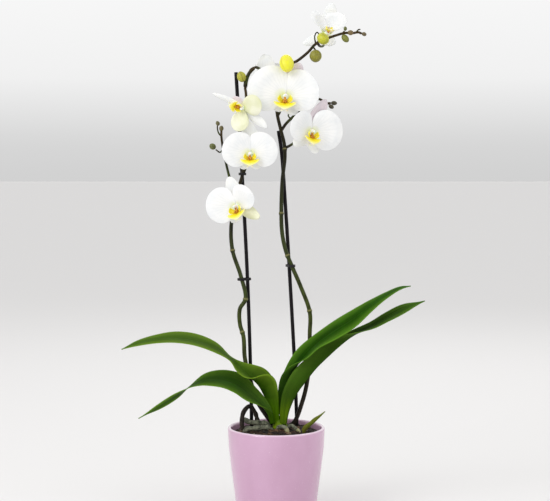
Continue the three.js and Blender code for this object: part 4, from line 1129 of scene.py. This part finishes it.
middle_lobe = Finish("lip_middle", Subsurface_Weight=0.2, Subsurface_Radius=(1, 0.8, 0.2),
                     Subsurface_Scale=0.002)
along, across = surface_place(middle_lobe)
from_middle = off_middle(middle_lobe, across)
middle_lobe.base = middle_lobe.ramp(along, (0.0, LIP_DEEP), (0.16, LIP_YELLOW), (0.5, LIP_YELLOW),
                                    (0.74, LIP_PALE), (0.9, LIP_CREAM), (1.0, LIP_CREAM))
throat = middle_lobe.times(middle_lobe.ramp(from_middle, (0.1, 1.0), (0.42, 0.0)),
                           middle_lobe.ramp(along, (0.05, 1.0), (0.42, 0.0)))
middle_lobe.paint(middle_lobe.times(throat, 0.75), LIP_BROWN)
middle_lobe.paint(middle_lobe.ramp(from_middle, (0.7, 0.0), (0.95, 0.7)), LIP_EDGE)
blots = middle_lobe.ramp(middle_lobe.patches(1.3, detail=1), (0.62, 0.0), (0.7, 0.6))
middle_lobe.paint(
    middle_lobe.times(blots, middle_lobe.ramp(along, (0.2, 1.0), (0.5, 0.0))), LIP_BROWN)
middle_lobe.dress(middle_lobe.mottle(2, 0.36, 0.55), middle_lobe.patches(1.2), 0.2)

side_lobe = Finish("lip_side", Subsurface_Weight=0.25, Subsurface_Radius=(1, 0.9, 0.3),
                   Subsurface_Scale=0.002)
along, across = surface_place(side_lobe)
side_lobe.base = side_lobe.ramp(along, (0.0, LIP_DEEP), (0.22, LIP_YELLOW), (0.72, LIP_YELLOW),
                                (1.0, LIP_GREEN))
bars = side_lobe.ramp(
    side_lobe.math("SINE", side_lobe.times(across, 34.0)), (0.55, 0.0), (0.8, 0.8))
side_lobe.paint(side_lobe.times(bars, side_lobe.ramp(along, (0.15, 1.0), (0.55, 0.0))), LIP_BROWN)
side_lobe.dress(side_lobe.mottle(2, 0.36, 0.55), side_lobe.patches(1.2), 0.15)

callus = Finish("lip_callus", Roughness=0.35, Coat_Weight=0.3, Coat_Roughness=0.2)
callus.base = callus.ramp(
    callus.patches(1.9, detail=2), (0.42, (226, 160, 26)), (0.54, (186, 112, 24)),
    (0.7, (128, 52, 20)))
callus.dress(None, callus.patches(0.9), 0.2, 0.6)

curl_cream = Finish("lip_curl", Roughness=0.45, Subsurface_Weight=0.3, Subsurface_Scale=0.001)
curl_cream.base = curl_cream.ramp(
    tone(curl_cream, "back"), (0.0, LIP_CREAM), (1.0, (246, 232, 160)))
curl_cream.dress(None, curl_cream.patches(0.8), 0.05, 0.4)

lip_finishes = [middle_lobe, side_lobe, callus, curl_cream]
MIDDLE, SIDE, CALLUS, CURL = range(4)  # their numbers


def side_lobe_surface(sign, spread):
    """An upright lobe beside the throat, which leans outward and is cupped towards the column."""
    def at(u, v):
        s = 2 * v - 1
        half = 4.6 * math.sin(math.pi * (0.2 + 0.7 * u)) ** 0.7
        out = 2.8 + 6.6 * math.sin(2.2 * u)
        flare = 0.45 * half * s - 0.4 * half * s * s
        return Vector((sign * spread * (out + flare), -9 + 8.5 * u - 2 * s,
                       6.5 + 4.5 * u + half * s * 0.7))
    return at


def middle_lobe_surface(spread):
    """The lobe that hangs forward, with a narrow root, two pointed wings and a narrow tip."""
    def at(u, v):
        s = 2 * v - 1
        wing = math.exp(-(((u - 0.55) / 0.3) ** 4))
        half = 2.6 + 11.4 * wing + 1.2 * math.sin(3 * u)
        half *= 1 - 0.35 * max((u - 0.85) / 0.15, 0)
        droop = 3 * wing * s * s
        return Vector((spread * s * half, -8.5 - 10.5 * u + 5 * wing * s * s,
                       6 + 9 * math.sin(1.8 * u) - droop))
    return at


def worm(route, radii, sides=10, steps=14):
    """Points, faces, surface places and marks of a round tube with closed ends."""
    at, _ = measured(route, 12)
    points, places, faces = [], [], []
    out = None
    for i in range(steps + 1):
        share = i / steps
        ahead = (at(min(share + 0.01, 1)) - at(max(share - 0.01, 0))).normalized()
        out = ahead.orthogonal() if out is None else out
        out = (out - ahead * out.dot(ahead)).normalized()
        beside = ahead.cross(out)
        closing = math.sqrt(max(1 - (1 - min(min(share, 1 - share) * 6, 1)) ** 2, 0.02))
        for j in range(sides):
            angle = 2 * math.pi * j / sides
            turned = out * math.cos(angle) + beside * math.sin(angle)
            points.append(at(share) + turned * eased(radii, share) * closing)
            places.append((share, j / sides))
    for i in range(steps):
        for j in range(sides):
            after = (j + 1) % sides
            faces.append((i * sides + j, i * sides + after, (i + 1) * sides + after,
                          (i + 1) * sides + j))
    faces.append(tuple(range(sides - 1, -1, -1)))
    faces.append(tuple(steps * sides + j for j in range(sides)))
    return points, faces, places, [place[0] for place in places]


for name, (*_, spread) in BLOOMS.items():
    fleshy = lambda u, v: LIP_THICKNESS * (1 - 0.45 * abs(2 * v - 1) ** 3)
    shells = [
        (worm([(0, -1, 5.4), (0, -4.6, 6.2), (0, -8, 7.4), (0, -9, 9.5)], [1.5, 1.9, 3.2, 2.2], 16),
         CALLUS),
        (blade(middle_lobe_surface(spread), fleshy, *MIDDLE_MESH), MIDDLE)]
    for sign in (1, -1):
        wart = egg((sign * 1.5 * spread, -7.6, 10.2), (1.3, 1.5, 1.7), (sign * 0.2, -0.3, 1), 12, 8)
        shells.append((wart, CALLUS))
        shells.append((blade(side_lobe_surface(sign, spread), fleshy, *LOBE_MESH), SIDE))
        curl = [(1.6, -18.6, 14.6), (3.2, -20.4, 13.6), (4.6, -20.2, 11.2), (4.4, -18.6, 9.8),
                (3.2, -18.2, 10.4)]
        curl = [(sign * x * spread, y, z) for x, y, z in curl]
        shells.append((worm(curl, [0.55, 0.42, 0.35, 0.28], 8, 18), CURL))
    points, faces, places, marks, finishes = joined(shells)
    to_place = bloom_frame(name)
    lip = mesh_piece(name + "_lip_lobes", [to_place @ Vector(p) for p in points], faces,
                     lip_finishes, places, {"back": marks}, finishes)
    ready(lip, "lip", name + "_lip")

# ---------------------------------------------------------------- buds
# Closed buds hang from the spikes' ends and branches. A bud is an egg of three sepals whose
# edges meet in shallow seams, with a slight point at its tip.

BUDS = {  # centre, direction to the tip, half width and length, and colours of body, blush and seam
    "bud_left_1": ((-48, 1, 612), (-0.35, -0.2, 1), (6.2, 7.6),
                   ((186, 182, 58), (124, 122, 38), (84, 80, 34))),
    "bud_left_2": ((-88, -0.5, 516), (-1, -0.2, 0.7), (4.3, 4.8),
                   ((100, 106, 46), (72, 74, 34), (48, 50, 24))),
    "bud_left_3": ((-76, 3, 541), (0.1, -0.1, 1), (3.1, 3.9),
                   ((112, 104, 62), (78, 62, 40), (54, 44, 30))),
    "bud_left_4": ((-81, 3, 548), (-0.5, 0, 1), (2.8, 3.4),
                   ((104, 100, 60), (74, 60, 40), (52, 42, 30))),
    "bud_right_1": ((14, -32, 628), (0.1, -0.5, -0.9), (9.8, 13.2),
                    ((232, 232, 30), (232, 214, 92), (196, 182, 30))),
    "bud_right_2": ((54, -4, 640), (0, -0.2, -1), (8.4, 8.8),
                    ((142, 140, 42), (110, 104, 38), (84, 74, 32))),
    "bud_right_3": ((64, -11, 663), (0.5, -0.6, -0.35), (8.2, 9.4),
                    ((200, 200, 46), (156, 160, 44), (118, 116, 38))),
    "bud_right_4": ((95, 2, 664.5), (0.5, -0.2, -0.6), (4.6, 6.4),
                    ((128, 134, 50), (100, 96, 44), (78, 70, 36))),
    "bud_right_5": ((102, -2.5, 672), (0.8, -0.6, -0.1), (3.6, 4.4),
                    ((118, 100, 60), (100, 78, 50), (70, 52, 36))),
    "bud_right_6": ((95, 3, 678), (0, 0, 1), (2.4, 3.0),
                    ((104, 112, 56), (84, 76, 46), (60, 52, 34))),
    "bud_right_7": ((121, 3, 670.5), (1, 0, -0.4), (2.8, 3.4),
                    ((108, 96, 60), (88, 70, 48), (62, 48, 34))),
    "bud_right_8": ((80, 6, 576), (1, -0.1, -0.1), (3.0, 4.2),
                    ((72, 68, 44), (52, 46, 34), (38, 32, 24))),
    "bud_right_9": ((76, 3.2, 571), (0.8, -0.3, -0.5), (3.0, 4.0),
                    ((76, 72, 46), (54, 48, 34), (38, 32, 24))),
}
SEAM_DEPTH, SEAM_WIDTH = 0.035, 7.0
SEAM_TURNS = (40, 160, 280)  # degrees round the bud
TIP_PULL = 0.1  # how much narrower it gets towards its tip


def bud_shell(centre, tip, wide, long, sides=48, rings=26):
    """An egg with three seams and a slight point."""
    points, faces, places, _ = egg((0, 0, 0), (1, 1, 1), (0, 0, 1), sides, rings)
    turn = Vector((0, 0, 1)).rotation_difference(Vector(tip))
    shaped, seams = [], []
    for point in points:
        round_the_bud = math.degrees(math.atan2(point.y, point.x))
        off_seam = min(abs((round_the_bud - at + 180) % 360 - 180) for at in SEAM_TURNS)
        seam = math.exp(-((off_seam / SEAM_WIDTH) ** 2)) * (1 - abs(point.z) ** 6)
        pull = 1 - SEAM_DEPTH * seam - TIP_PULL * max(point.z, 0) ** 2
        local = Vector((point.x * wide * pull, point.y * wide * 0.94 * pull, point.z * long))
        shaped.append(turn @ local + Vector(centre))
        seams.append(seam)
    return shaped, faces, places, seams


def bud_finish(name, body, blush, seam):
    """Waxy bud skin: blushed at both ends and in streaks, and dark in its seams."""
    made = Finish(name, Subsurface_Weight=0.15, Subsurface_Radius=(1, 1, 0.3),
                  Subsurface_Scale=0.003)
    along, across = surface_place(made)
    made.base = made.ramp(along, (0.0, blush), (0.35, body), (0.8, body), (1.0, blush))
    made.paint(made.ramp(made.patches(7), (0.5, 0.0), (0.75, 0.6)), blush)
    made.paint(made.ramp(streaks(made, along, across, 2.0, 40.0), (0.35, 0.35), (0.6, 0.0)), blush)
    made.paint(made.times(tone(made, "seam"), 0.55), seam)
    made.dress(made.mottle(4, 0.34, 0.55), made.patches(1.1), 0.12)
    return made


for bud_name, (centre, tip, (wide, long), shades) in BUDS.items():
    points, faces, places, seams = bud_shell(centre, tip, wide, long)
    skin = bud_finish(bud_name + "_skin", *shades)
    bud = mesh_piece(bud_name + "_bloom_bud", points, faces, [skin], places, {"seam": seams})
    ready(bud, "bud", bud_name)
